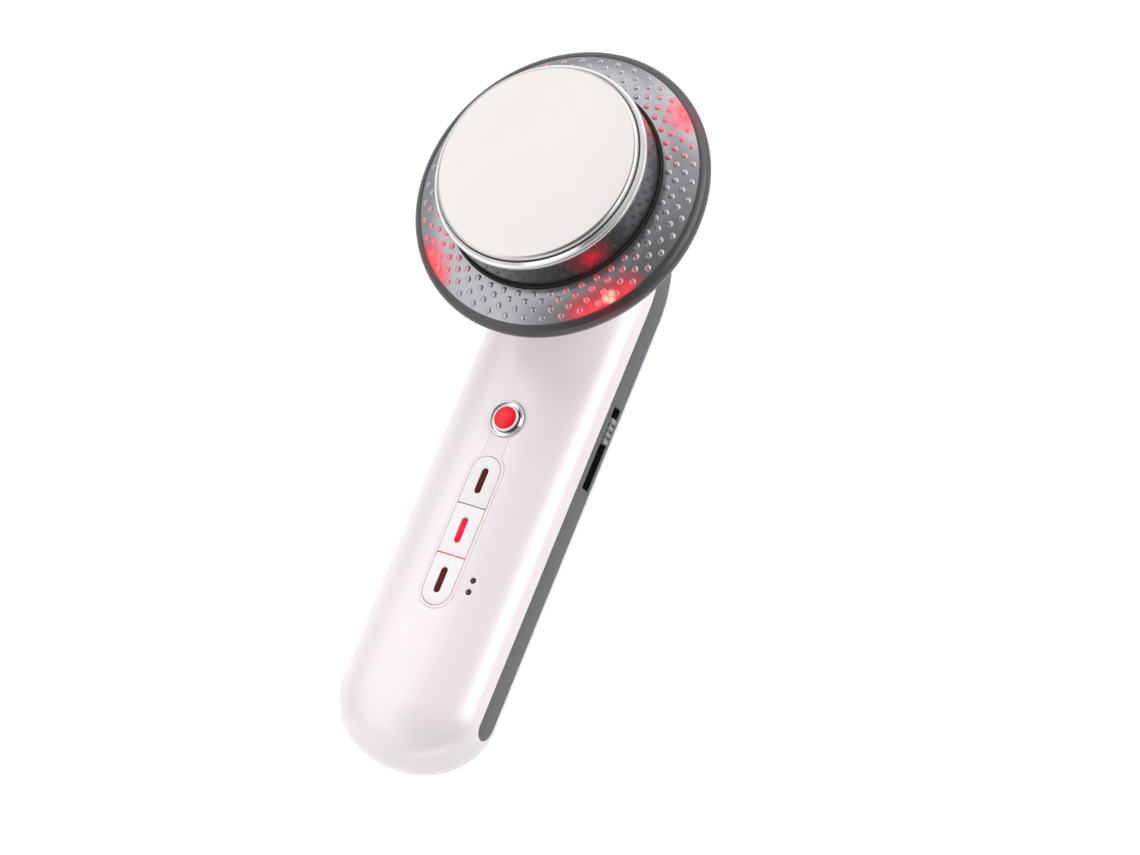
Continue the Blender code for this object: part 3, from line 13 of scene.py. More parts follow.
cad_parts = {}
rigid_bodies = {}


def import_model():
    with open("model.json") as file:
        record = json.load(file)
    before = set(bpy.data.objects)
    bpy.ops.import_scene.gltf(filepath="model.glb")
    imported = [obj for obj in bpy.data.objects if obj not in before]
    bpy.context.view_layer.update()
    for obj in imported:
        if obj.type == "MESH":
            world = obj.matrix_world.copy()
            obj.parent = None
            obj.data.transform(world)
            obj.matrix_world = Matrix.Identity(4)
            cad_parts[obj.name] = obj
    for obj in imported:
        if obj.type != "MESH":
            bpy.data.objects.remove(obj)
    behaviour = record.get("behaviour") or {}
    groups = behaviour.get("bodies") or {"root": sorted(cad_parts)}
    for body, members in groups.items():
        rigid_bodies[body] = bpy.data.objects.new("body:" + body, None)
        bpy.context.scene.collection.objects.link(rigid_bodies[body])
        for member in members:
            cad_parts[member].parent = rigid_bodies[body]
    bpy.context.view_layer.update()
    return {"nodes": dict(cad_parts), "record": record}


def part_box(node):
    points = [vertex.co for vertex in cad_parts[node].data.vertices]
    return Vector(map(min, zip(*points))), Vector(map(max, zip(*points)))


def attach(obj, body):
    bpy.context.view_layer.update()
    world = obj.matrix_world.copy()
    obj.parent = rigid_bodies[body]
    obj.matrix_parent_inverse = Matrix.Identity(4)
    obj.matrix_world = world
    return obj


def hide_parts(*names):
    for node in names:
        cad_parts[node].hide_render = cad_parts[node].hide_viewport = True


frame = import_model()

LOG = logging.getLogger("facial_treatment_machine")
WELD = 0.000001  # metres within which two points are one
TOOL_REACH = 0.001  # metres by which a tool passes the surface that it cuts
QUARTER = math.pi / 2
Piece = bpy.types.Object
Material = bpy.types.Material
Socket = bpy.types.NodeSocket
Point = tuple[float, float, float]
Colour = tuple[float, float, float]
Outline = list[tuple[float, float]]
UNLIT: Colour = (0.0, 0.0, 0.0)


class Side(Enum):
    """Sides of the handle, seen from its front with the head up."""

    RIGHT = 1
    LEFT = -1


class Half(Enum):
    """Halves of the casing."""

    FRONT = 1
    REAR = -1


class Cut(Enum):
    """Ways in which a tool shapes a piece."""

    REMOVE = "DIFFERENCE"
    KEEP = "INTERSECT"
    ADD = "UNION"


class Sheet(Enum):
    """What a sheet of nodes shades, with the coordinates that it reads."""

    MATERIAL = "Object"
    WORLD = "Generated"


class Texture(Enum):
    """Regular textures of the small parts inside."""

    TRACKS = "TexBrick"
    WINDING = "TexWave"


def srgb(red: int, green: int, blue: int) -> Colour:
    """Turns a colour of 0 to 255 into linear light."""
    shares = (value / 255 for value in (red, green, blue))
    return tuple(v / 12.92 if v <= 0.04045 else ((v + 0.055) / 1.055) ** 2.4 for v in shares)


def dimmed(colour: Colour, share: float) -> Colour:
    """Returns a colour with only a share of its light."""
    return tuple(value * share for value in colour)


class NodeSheet:
    """The nodes of one material or world, with short calls to add and link them."""

    def __init__(self, name: str, kind: Sheet = Sheet.MATERIAL) -> None:
        """Makes a material or world with an empty sheet.

        Args:
            name: Its name.
            kind: Which of the two it is.
        """
        self.owner = (bpy.data.materials if kind is Sheet.MATERIAL else bpy.data.worlds).new(name)
        self.owner.use_nodes = True
        self.tree = self.owner.node_tree
        self.tree.nodes.clear()
        self.output = self.tree.nodes.new("ShaderNodeOutput" + kind.name.title())
        self.coords = self.tree.nodes.new("ShaderNodeTexCoord").outputs[kind.value]

    def node(self, kind: str, values: dict | None = None, links: dict | None = None,
             **options: object) -> bpy.types.Node:
        """Adds a node.

        Args:
            kind: Blender's name of the node, without its ShaderNode part.
            values: Fixed values by socket name or number.
            links: Sockets to link from, by socket name or number.
            options: Settings of the node itself.

        Returns:
            The new node.
        """
        made = self.tree.nodes.new("ShaderNode" + kind)
        for key, value in options.items():
            setattr(made, key, value)
        for key, value in (values or {}).items():
            made.inputs[key].default_value = value
        for key, socket in (links or {}).items():
            self.tree.links.new(socket, made.inputs[key])
        return made

    def noise(self, scale: float, detail: float = 3.0) -> Socket:
        """Returns a soft noise value over the piece."""
        return self.node("TexNoise", {"Scale": scale, "Detail": detail}, {"Vector": self.coords}).outputs["Fac"]

    def span(self, socket: Socket, low: float, high: float, start: float, end: float) -> Socket:
        """Returns a value mapped from one span to another, held at its ends."""
        values = {"From Min": low, "From Max": high, "To Min": start, "To Max": end}
        return self.node("MapRange", values, {"Value": socket}).outputs["Result"]

    def math(self, operation: str, first: Socket, second: Socket | float) -> Socket:
        """Adds one sum.

        Args:
            operation: Blender's name of the sum.
            first: Its first socket.
            second: Its second socket or number.

        Returns:
            The result's socket.
        """
        if isinstance(second, (int, float)):
            return self.node("Math", {1: second}, {0: first}, operation=operation).outputs[0]
        return self.node("Math", None, {0: first, 1: second}, operation=operation).outputs[0]

    def mix(self, factor: Socket, first: Socket | Colour, second: Socket | Colour) -> Socket:
        """Mixes two colours.

        Args:
            factor: Share of the second.
            first: A colour or socket.
            second: A colour or socket.

        Returns:
            The mixed colour's socket.
        """
        made = self.node("Mix", None, {0: factor}, data_type="RGBA")
        for index, value in ((6, first), (7, second)):
            if isinstance(value, tuple):
                made.inputs[index].default_value = (*value, 1.0)
            else:
                self.tree.links.new(value, made.inputs[index])
        return made.outputs[2]

    def clouds(self, scale: float, first: Colour, second: Colour) -> Socket:
        """Returns a colour that clouds slowly between two."""
        return self.mix(self.span(self.noise(scale), 0.35, 0.65, 0, 1), first, second)

    def bump(self, height: Socket, distance: float) -> Socket:
        """Returns a surface direction disturbed by a height."""
        return self.node("Bump", {"Distance": distance, "Strength": 1.0}, {"Height": height}).outputs["Normal"]

    def grain(self, scale: float, distance: float) -> Socket:
        """Returns a surface direction disturbed by fine grain."""
        return self.bump(self.noise(scale, 2.0), distance)

    def nearness(self, places: list[Vector], reach: float, power: float = 1.0) -> Socket:
        """Returns 1 at the nearest of some places, falling to 0 at a reach.

        Args:
            places: Points on the piece.
            reach: Distance at which the value is 0.
            power: How steeply it falls.

        Returns:
            The value's socket.
        """
        nearest = None
        for place in places:
            away = self.node("VectorMath", {1: tuple(place)}, {0: self.coords}, operation="DISTANCE").outputs["Value"]
            near = self.span(away, 0.0, reach, 1.0, 0.0)
            nearest = near if nearest is None else self.math("MAXIMUM", nearest, near)
        return nearest if power == 1.0 else self.math("POWER", nearest, power)

    def surface(self, shader: bpy.types.Node) -> Material | bpy.types.World:
        """Links a shader to the surface and returns the material or world."""
        self.tree.links.new(shader.outputs[0], self.output.inputs["Surface"])
        return self.owner

    def finished(self, values: dict, links: dict) -> Material:
        """Gives the material its standard shader and returns it."""
        return self.surface(self.node("BsdfPrincipled", values, links))


@dataclass(frozen=True)
class Finish:
    """A moulded plastic finish: colour with slight clouding, roughness and fine orange peel."""

    name: str
    colour: Colour
    roughness: float = 0.4
    coat: float = 0.0
    coat_roughness: float = 0.08
    clouding: float = 0.03
    cloud_scale: float = 60.0
    peel: float = 0.00002
    peel_scale: float = 900.0

    def material(self) -> Material:
        """Builds the finish.

        Returns:
            A material with procedural colour, roughness and relief.
        """
        sheet = NodeSheet(self.name)
        rough = sheet.span(sheet.noise(self.cloud_scale * 3), 0.3, 0.7, self.roughness * 0.93, self.roughness * 1.07)
        colour = sheet.clouds(self.cloud_scale, self.colour, dimmed(self.colour, 1 - self.clouding))
        return sheet.finished({"Coat Weight": self.coat, "Coat Roughness": self.coat_roughness},
                              {"Base Color": colour, "Roughness": rough,
                               "Normal": sheet.grain(self.peel_scale, self.peel)})


@dataclass(frozen=True)
class PearlFinish:
    """Pearl lacquer: fine flakes that shine broadly under a clear coat."""

    name: str
    colour: Colour
    flakes: float = 0.03
    flake_scale: float = 9000.0
    roughness: float = 0.32
    specular: float = 0.9
    coat: float = 0.6
    coat_roughness: float = 0.2

    def material(self) -> Material:
        """Builds the finish.

        Returns:
            A lacquer with slight warm and cool clouds and fine flakes.
        """
        sheet = NodeSheet(self.name)
        cool = (self.colour[0] * 0.975, self.colour[1] * 0.98, self.colour[2])
        flakes = sheet.node("TexVoronoi", {"Scale": self.flake_scale}, {"Vector": sheet.coords}).outputs["Distance"]
        return sheet.finished(
            {"Metallic": self.flakes, "Specular IOR Level": self.specular, "Coat Weight": self.coat,
             "Coat Roughness": self.coat_roughness},
            {"Base Color": sheet.clouds(35, self.colour, cool),
             "Roughness": sheet.span(flakes, 0.2, 0.8, self.roughness * 0.94, self.roughness * 1.06),
             "Normal": sheet.grain(420, 0.000006)})


@dataclass(frozen=True)
class MetalFinish:
    """A metal finish with fine brush lines in rings round a centre."""

    name: str
    colour: Colour
    roughness: float = 0.2
    centre: Vector = field(default_factory=lambda: Vector((0, 0, 0)))
    line_scale: float = 2600.0
    relief: float = 0.000003
    wear: float = 0.03

    def material(self) -> Material:
        """Builds the finish.

        Returns:
            A metal material.
        """
        sheet = NodeSheet(self.name)
        away = sheet.node("VectorMath", {1: tuple(self.centre)}, {0: sheet.coords}, operation="DISTANCE")
        lines = sheet.node("TexNoise", {"Scale": self.line_scale, "Detail": 2.0}, {"W": away.outputs["Value"]},
                           noise_dimensions="1D").outputs["Fac"]
        return sheet.finished({"Metallic": 1.0}, {
            "Base Color": sheet.clouds(45, self.colour, dimmed(self.colour, 1 - self.wear)),
            "Roughness": sheet.span(lines, 0.3, 0.7, self.roughness * 0.97, self.roughness * 1.03),
            "Normal": sheet.bump(lines, self.relief)})


@dataclass(frozen=True)
class Glow:
    """Painted glow of a translucent piece round each lamp: a wide deep red, a bright middle and a hot spot."""

    lamps: list[Vector]
    wide_reach: float
    wide_colour: Colour
    bright_reach: float
    bright_colour: Colour
    hot_spots: list[Vector] = field(default_factory=list)
    hot_reach: float = 0.0013
    hot_colour: Colour = (1.0, 0.92, 0.60)
    # Share of the glow broken into dots, as a painted reflection of the ring's domes.
    reflection_speckle: float = 0.0
    fade: float = 1.4


@dataclass(frozen=True)
class SmokedFinish:
    """Smoked translucent plastic with a painted red glow near the lamps under it."""

    name: str
    colour: Colour
    glow: Glow
    roughness: float
    coat: float
    metallic: float

    def material(self) -> Material:
        """Builds the finish.

        Returns:
            A dark glossy material with a painted red glow round each lamp.
        """
        sheet = NodeSheet(self.name)
        glow = self.glow
        wide = sheet.nearness(glow.lamps, glow.wide_reach, glow.fade)
        if glow.reflection_speckle > 0:
            wide = sheet.math("MULTIPLY", wide, sheet.span(sheet.noise(1500, 1.0), 0.38, 0.62, 1 - glow.reflection_speckle, 1))
        # Base colour painted redder near the lamps: painted light.
        lit_base = (self.colour[0] * 0.9, self.colour[1] * 0.12, self.colour[2] * 0.16)
        light = sheet.mix(wide, UNLIT, glow.wide_colour)
        light = sheet.mix(sheet.nearness(glow.lamps, glow.bright_reach, 1.2), light, glow.bright_colour)
        if glow.hot_spots:
            light = sheet.mix(sheet.nearness(glow.hot_spots, glow.hot_reach, 1.1), light, glow.hot_colour)
        return sheet.finished(
            {"Roughness": self.roughness, "Coat Weight": self.coat, "Coat Roughness": 0.12,
             "Metallic": self.metallic, "Emission Strength": 1.0},
            {"Base Color": sheet.mix(wide, sheet.clouds(140, self.colour, dimmed(self.colour, 0.94)), lit_base),
             "Emission Color": light, "Normal": sheet.grain(1200, 0.00001)})


@dataclass(frozen=True)
class LampFinish:
    """A coloured lens or lamp, dark or lit from inside."""

    name: str
    colour: Colour
    glow: Colour
    strength: float
    centre: Vector | Point
    reach: float
    roughness: float = 0.12
    coat: float = 0.5
    specular: float = 0.35

    def material(self) -> Material:
        """Builds the finish, with painted glow brightest at its centre.

        Returns:
            A glossy material with an inner light.
        """
        sheet = NodeSheet(self.name)
        # Base colour and emission are painted brighter towards the centre and darker towards the edge: painted glow,
        # also on unlit lenses.
        near = sheet.nearness([self.centre], self.reach)
        return sheet.finished(
            {"Roughness": self.roughness, "Coat Weight": self.coat, "Coat Roughness": 0.05,
             "Specular IOR Level": self.specular, "Emission Strength": self.strength},
            {"Base Color": sheet.mix(near, dimmed(self.colour, 0.7), self.colour),
             "Emission Color": sheet.mix(near, dimmed(self.glow, 0.55), self.glow),
             "Normal": sheet.grain(700, 0.00001)})


@dataclass(frozen=True)
class KeyFinish:
    """White satin key whose side wall has painted red light where it leaks between two keys."""

    name: str
    colour: Colour
    leak_y: float
    top: float
    leak_colour: Colour
    leak_reach: float = 0.0006
    leak_start: float = 0.00004
    leak_full: float = 0.00014

    def material(self) -> Material:
        """Builds the finish.

        Returns:
            A satin white with a red glow low in the gap.
        """
        sheet = NodeSheet(self.name)
        parts = sheet.node("SeparateXYZ", None, {0: sheet.coords}).outputs
        # Painted red light: base colour and emission turn red low on the key's wall near the gap.
        away = sheet.math("ABSOLUTE", sheet.math("SUBTRACT", parts["Y"], self.leak_y), 0.0)
        near = sheet.span(away, self.leak_reach * 0.6, self.leak_reach, 1, 0)
        low = sheet.span(parts["Z"], self.top - self.leak_full, self.top - self.leak_start, 1, 0)
        leak = sheet.math("MULTIPLY", near, low)
        white = sheet.clouds(80, self.colour, dimmed(self.colour, 0.985))
        return sheet.finished({"Coat Weight": 0.2, "Coat Roughness": 0.15, "Emission Strength": 0.6}, {
            "Base Color": sheet.mix(leak, white, self.leak_colour),
            "Emission Color": sheet.mix(leak, UNLIT, self.leak_colour),
            "Roughness": sheet.span(sheet.noise(240), 0.3, 0.7, 0.39, 0.45),
            "Normal": sheet.grain(900, 0.000008)})


@dataclass(frozen=True)
class PatternFinish:
    """Two colours and a relief that follow a regular texture, as on a circuit board or a winding."""

    name: str
    texture: Texture
    values: dict[str, float]
    first: Colour
    second: Colour
    relief: float
    coat: float

    def material(self) -> Material:
        """Builds the finish.

        Returns:
            A lacquered material with the texture in its colour and relief.
        """
        sheet = NodeSheet(self.name)
        options = {"bands_direction": "Z"} if self.texture is Texture.WINDING else {}
        share = sheet.node(self.texture.value, self.values, {"Vector": sheet.coords}, **options).outputs["Fac"]
        return sheet.finished({"Roughness": 0.35, "Coat Weight": self.coat},
                              {"Base Color": sheet.mix(share, self.first, self.second),
                               "Normal": sheet.bump(share, self.relief)})


def pick_nothing() -> None:
    """Deselects every object."""
    for obj in bpy.context.view_layer.objects:
        obj.select_set(False)


def pick(obj: Piece) -> Piece:
    """Makes a piece the only selected and active one.

    Args:
        obj: The piece.

    Returns:
        The same piece.
    """
    pick_nothing()
    obj.select_set(True)
    bpy.context.view_layer.objects.active = obj
    return obj


def named(name: str) -> Piece:
    """Returns the piece that was just added, under its name.

    Args:
        name: The piece's name.

    Returns:
        The piece.
    """
    obj = bpy.context.active_object
    obj.name = name
    obj.data.name = name
    return obj


def open_mesh(obj: Piece) -> None:
    """Starts to edit a piece's mesh, with all of it selected."""
    pick(obj)
    bpy.ops.object.mode_set(mode="EDIT")
    bpy.ops.mesh.select_all(action="SELECT")


def close_mesh() -> None:
    """Stops editing."""
    bpy.ops.object.mode_set(mode="OBJECT")


def settle(obj: Piece, place: Matrix | None = None) -> Piece:
    """Puts a piece's place into its mesh.

    Args:
        obj: The piece.
        place: Where it stands, if it isn't there yet.

    Returns:
        The same piece.
    """
    if place is not None:
        obj.matrix_world = place
    bpy.context.view_layer.update()
    obj.data.transform(obj.matrix_world)
    obj.matrix_world = Matrix.Identity(4)
    return obj


def tidy(obj: Piece, recalculate: bool = True) -> Piece:
    """Merges a piece's doubles and turns its faces outwards.

    Args:
        obj: The piece.
        recalculate: Whether its faces are turned.

    Returns:
        The same piece.
    """
    open_mesh(obj)
    bpy.ops.mesh.remove_doubles(threshold=WELD)
    if recalculate:
        bpy.ops.mesh.normals_make_consistent(inside=False)
    close_mesh()
    return obj


def smooth(obj: Piece, degrees: float) -> Piece:
    """Shades a piece smooth, with edges above an angle kept sharp.

    Args:
        obj: The piece.
        degrees: The angle.

    Returns:
        The same piece.
    """
    pick(obj)
    bpy.ops.object.shade_smooth_by_angle(angle=math.radians(degrees))
    return obj


def apply_modifiers(obj: Piece) -> Piece:
    """Applies all of a piece's modifiers in order.

    Args:
        obj: The piece.

    Returns:
        The same piece.
    """
    pick(obj)
    for modifier in list(obj.modifiers):
        bpy.ops.object.modifier_apply(modifier=modifier.name)
    return obj


def cut(obj: Piece, tool: Piece, how: Cut = Cut.REMOVE) -> Piece:
    """Shapes a piece with a tool, which is used up.

    Args:
        obj: The piece.
        tool: The tool's solid.
        how: What the tool does.

    Returns:
        The same piece.
    """
    modifier = obj.modifiers.new("cut", "BOOLEAN")
    modifier.operation = how.value
    modifier.object = tool
    modifier.solver = "EXACT"
    apply_modifiers(obj)
    bpy.data.objects.remove(tool, do_unlink=True)
    return obj


def soften(obj: Piece, width: float, segments: int = 2, degrees: float = 40.0) -> Piece:
    """Rounds a piece's sharp edges with a Bevel modifier.

    Args:
        obj: The piece.
        width: Width of the rounding.
        segments: Steps across it.
        degrees: Angle above which an edge is sharp.

    Returns:
        The same piece.
    """
    bevel = obj.modifiers.new("edge", "BEVEL")
    bevel.width = width
    bevel.segments = segments
    bevel.limit_method = "ANGLE"
    bevel.angle_limit = math.radians(degrees)
    bevel.use_clamp_overlap = True
    return apply_modifiers(obj)


def turned(name: str, profile: Outline, steps: int, place: Matrix, closed: bool = True) -> Piece:
    """Draws a profile point by point and spins it about Z.

    Args:
        name: Name of the piece.
        profile: Points as radius and height.
        steps: Steps round the full turn.
        place: Where the turned piece stands.
        closed: Whether the last point joins the first.

    Returns:
        The piece, with its place in its mesh.
    """
    pick_nothing()
    bpy.ops.mesh.primitive_plane_add(size=WELD * 100, location=(0, 0, 0))
    obj = named(name)
    open_mesh(obj)
    bpy.ops.mesh.merge(type="CENTER")
    bpy.ops.transform.translate(value=(profile[0][0], 0, profile[0][1]))
    joins = closed and (profile[0][0] > 0 or profile[-1][0] > 0)
    points = profile + [profile[0]] if joins else profile
    for (radius, height), (next_radius, next_height) in zip(points, points[1:]):
        step = (next_radius - radius, 0, next_height - height)
        bpy.ops.mesh.extrude_vertices_move(TRANSFORM_OT_translate={"value": step})
    bpy.ops.mesh.select_all(action="SELECT")
    bpy.ops.mesh.remove_doubles(threshold=WELD)
    bpy.ops.mesh.spin(steps=steps, angle=math.tau, center=(0, 0, 0), axis=(0, 0, 1))
    close_mesh()
    return settle(tidy(obj), place)


def slab(name: str, outline: Outline, low: float, high: float, place: Matrix | None = None) -> Piece:
    """Makes a plate of an outline: a filled circle is drawn out to the outline and extruded.

    Args:
        name: Name of the piece.
        outline: Points of the outline, anticlockwise, as X and Y.
        low: Height of its underside.
        high: Height of its top.
        place: Where the plate stands.

    Returns:
        The plate, with its place in its mesh.
    """
    pick_nothing()
    bpy.ops.mesh.primitive_circle_add(vertices=len(outline), radius=1, fill_type="NGON", location=(0, 0, 0))
    obj = named(name)
    for vert, (x, y) in zip(obj.data.vertices, outline):
        vert.co = (x, y, low)
    open_mesh(obj)
    bpy.ops.mesh.extrude_region_move(TRANSFORM_OT_translate={"value": (0, 0, high - low)})
    close_mesh()
    return settle(tidy(obj), place)


def slice_across(obj: Piece, places: list[float], normal: Point) -> None:
    """Adds edges where planes cross a piece.

    Args:
        obj: The piece.
        places: Distances of the planes along their normal.
        normal: The planes' normal.
    """
    open_mesh(obj)
    for place in places:
        bpy.ops.mesh.select_all(action="SELECT")
        bpy.ops.mesh.bisect(plane_co=tuple(place * value for value in normal), plane_no=normal, threshold=WELD)
    close_mesh()


def box(name: str, low: Point, high: Point) -> Piece:
    """Makes a box, as the start of a piece or as a tool.

    Args:
        name: Its name.
        low: Its lowest corner.
        high: Its highest corner.

    Returns:
        The box.
    """
    pick_nothing()
    bpy.ops.mesh.primitive_cube_add(size=1, location=[(a + b) / 2 for a, b in zip(low, high)])
    obj = named(name)
    obj.scale = [b - a for a, b in zip(low, high)]
    return settle(obj)


def rod(name: str, radius: float, low: Point, high: Point, steps: int = 48) -> Piece:
    """Makes a round bar, as the start of a piece or as a tool.

    Args:
        name: Its name.
        radius: Its radius.
        low: Middle of its first end.
        high: Middle of its second end.
        steps: Steps round it.

    Returns:
        The bar.
    """
    pick_nothing()
    axis = Vector(high) - Vector(low)
    bpy.ops.mesh.primitive_cylinder_add(vertices=steps, radius=radius, depth=axis.length)
    turn = axis.to_track_quat("Z", "Y").to_matrix().to_4x4()
    return settle(named(name), Matrix.Translation((Vector(low) + Vector(high)) / 2) @ turn)


def gathered(name: str, pieces: list[Piece]) -> Piece:
    """Joins loose pieces into one.

    Args:
        name: The whole's name.
        pieces: The loose pieces.

    Returns:
        The whole.
    """
    pick_nothing()
    for piece in pieces:
        piece.select_set(True)
    bpy.context.view_layer.objects.active = pieces[0]
    bpy.ops.object.join()
    pieces[0].name = name
    return pieces[0]


def pill(half_width: float, low: float, high: float, steps: int = 24, grow: float = 0.0, round_low: bool = True,
         round_high: bool = True) -> Outline:
    """Returns the outline of a strip along Y with round or square ends.

    Args:
        half_width: Half the strip's width.
        low: Its lower end.
        high: Its upper end.
        steps: Steps of each half round.
        grow: Growth on all sides.
        round_low: Whether the lower end is round.
        round_high: Whether the upper end is round.

    Returns:
        The outline's points, anticlockwise.
    """
    half = half_width + grow
    points = []
    for end, centre, start, rounded in ((high + grow, high - half_width, 0.0, round_high),
                                        (low - grow, low + half_width, math.pi, round_low)):
        if rounded:
            angles = [start + math.pi * i / steps for i in range(steps + 1)]
            points += [(half * math.cos(a), centre + half * math.sin(a)) for a in angles]
        else:
            side = half if start == 0.0 else -half
            points += [(side, end), (-side, end)]
    return points


def arc(radius: float, top: float, size: float, steps: int) -> Outline:
    """Returns a quarter round from a flat top down to a side."""
    angles = [QUARTER * i / steps for i in range(steps + 1)]
    return [(radius - size + size * math.sin(a), top - size + size * math.cos(a)) for a in angles]


def dome(radius: float, edge: float, rise: float, steps: int) -> Outline:
    """Returns a dome's profile from its top down to its edge."""
    angles = [QUARTER * i / steps for i in range(steps + 1)]
    return [(radius * math.sin(a), edge + rise * math.cos(a)) for a in angles]


def middle_of(node: str) -> Point:
    """Returns the middle of a CAD node's box."""
    low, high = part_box(node)
    return tuple((a + b) / 2 for a, b in zip(low, high))


def dress(obj: Piece, material: Material) -> None:
    """Gives a piece one material."""
    obj.data.materials.clear()
    obj.data.materials.append(material)


def hand_over(obj: Piece, material: Material, slot: str, *nodes: str, body: str = "casing") -> None:
    """Dresses a piece and ties it to the frame.

    Args:
        obj: The finished piece.
        material: Its material.
        slot: The record's material slot; not used.
        nodes: The CAD nodes that it stands for.
        body: The body that it rides on.
    """
    dress(obj, material)
    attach(obj, body)
    if nodes:
        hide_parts(*nodes)
    LOG.info("%s: %d faces on %s", obj.name, len(obj.data.polygons), body)


@dataclass
class HandleShape:
    """The handle's outer form: a rounded section drawn out between two rounded ends."""

    half_width: float = 0.0200
    front_depth: float = 0.0120
    rear_depth: float = 0.0130
    rear_cut: float = 0.0006
    front_squareness: float = 2.2
    rear_squareness: float = 2.4
    lower_length: float = 0.0167
    head_length: float = 0.0300
    lower_end: float = -0.0871106
    head_end: float = 0.0641894
    segments: int = 176
    rings: int = 96
    slices: int = 26

    def __post_init__(self) -> None:
        """Works out the levels and centres that follow from the sizes."""
        self.parting = self.rear_depth - self.rear_cut
        self.front = self.parting + self.front_depth
        self.lower_centre = self.lower_end + self.lower_length
        self.upper_centre = self.head_end - self.head_length

    def front_z(self, x: float) -> float:
        """Returns the front surface's height beside the middle line, between the ends."""
        share = min(1.0, abs(x) / self.half_width)
        return self.parting + self.front_depth * (1 - share ** self.front_squareness) ** (1 / self.front_squareness)

    def shaped(self, unit: Vector, grow: float) -> Vector:
        """Moves a point of the unit sphere onto the handle's surface.

        Args:
            unit: The point on the sphere.
            grow: How far outside the handle the surface lies.

        Returns:
            The point on the handle.
        """
        front = unit.z >= 0
        power = 2 / (self.front_squareness if front else self.rear_squareness)
        flat = math.hypot(unit.x, unit.y)
        along = (unit.y / flat if flat > 0 else 0.0) * flat ** power
        across = (unit.x / flat if flat > 0 else 0.0) * flat ** power
        lean = abs(unit.z) ** power
        if unit.y >= 0:
            y = self.upper_centre + (self.head_length + grow) * along
        else:
            y = self.lower_centre + (self.lower_length + grow) * along
        if front:
            z = self.parting + (self.front_depth + grow) * lean
        else:
            z = max(self.parting - (self.rear_depth + grow) * lean, -grow)
        return Vector(((self.half_width + grow) * across, y, z))

    def solid(self, name: str, grow: float = 0.0) -> Piece:
        """Makes the closed handle: a sphere that is squared, flattened and drawn out.

        Args:
            name: Name of the solid.
            grow: How far outside the handle its surface lies.

        Returns:
            The solid.
        """
        pick_nothing()
        bpy.ops.mesh.primitive_uv_sphere_add(segments=self.segments, ring_count=self.rings, radius=1)
        obj = named(name)
        turn = Matrix.Rotation(math.pi / self.segments, 3, "Z")
        for vert in obj.data.vertices:
            vert.co = self.shaped(turn @ vert.co, grow)
        length = self.upper_centre - self.lower_centre
        slice_across(obj, [self.lower_centre + length * i / self.slices for i in range(1, self.slices)], (0, 1, 0))
        return obj

    def shell(self, name: str, half: Half, wall: float, gap: float) -> Piece:
        """Makes one half of the handle as a closed shell.

        Args:
            name: Name of the piece.
            half: Which half it is.
            wall: Its wall's thickness.
            gap: The gap between the halves.

        Returns:
            The shell.
        """
        front = half is Half.FRONT
        obj = self.solid(name)
        open_mesh(obj)
        bpy.ops.mesh.bisect(plane_co=(0, 0, self.parting - half.value * wall), plane_no=(0, 0, 1), clear_inner=front,
                            clear_outer=not front)
        close_mesh()
        solidify = obj.modifiers.new("wall", "SOLIDIFY")
        solidify.thickness = wall
        solidify.offset = -1
        apply_modifiers(obj)
        reach = self.half_width * 1.5
        near, far = self.parting + half.value * gap / 2, self.parting - half.value * self.front_depth
        return cut(obj, box("trim", (-reach, self.lower_end - wall, min(near, far)),
                            (reach, self.head_end + wall, max(near, far))))


@dataclass
class ControlLayout:
    """Places and sizes of the controls on the front, along Y from the power button."""

    power_y: float = -0.0018106
    bezel_radius: float = 0.00448
    strip_top: float = 0.0096
    strip_length: float = 0.0380
    strip_half: float = 0.0040
    margin: float = 0.0007
    button_margin: float = 0.00022
    neck_half: float = 0.0026
    blend: int = 6

    def __post_init__(self) -> None:
        """Finds both ends of the key strip."""
        self.strip_low, self.strip_high = self.key_span(2)[0], self.key_span(0)[1]

    def key_span(self, number: int) -> tuple[float, float]:
        """Returns the lower and upper end of a key's cell, counted from the top."""
        high = self.power_y - self.strip_top - number * (self.strip_length / 3)
        return high - self.strip_length / 3, high

    def key_middle(self, number: int) -> float:
        """Returns the middle of a key's cell."""
        return sum(self.key_span(number)) / 2

    def half_width(self, y: float, margin: float) -> float:
        """Works out the keyhole outline.

        Args:
            y: A place along the handle.
            margin: Growth over the power ring and the key strip.

        Returns:
            The outline's half width there.
        """
        circle = self.bezel_radius + margin + self.button_margin - self.margin
        strip = self.strip_half + margin
        low, high = self.strip_low - margin + strip, self.strip_high + margin - strip
        widths = [0.0]
        if abs(y - self.power_y) < circle:
            widths.append(math.sqrt(circle ** 2 - (y - self.power_y) ** 2))
        if low - strip <= y <= high + strip:
            widths.append(math.sqrt(max(strip ** 2 - max(low - y, y - high, 0) ** 2, 0)))
        if high <= y <= self.power_y:
            widths.append(self.neck_half + margin - self.margin)
        return sum(w ** self.blend for w in widths) ** (1 / self.blend)

    def keyhole(self, margin: float, steps: int = 110) -> Outline:
        """Returns the control panel's outline, anticlockwise.

        Args:
            margin: Growth over the power ring and the key strip.
            steps: Steps along each side.

        Returns:
            The outline's points.
        """
        low, high = self.strip_low - margin, self.power_y + self.bezel_radius + margin
        heights = [low + (high - low) * (1 - math.cos(math.pi * (i / steps))) / 2 for i in range(steps + 1)]
        right = [(self.half_width(y, margin), y) for y in heights]
        return right + [(-x, y) for x, y in right[-2:0:-1]]


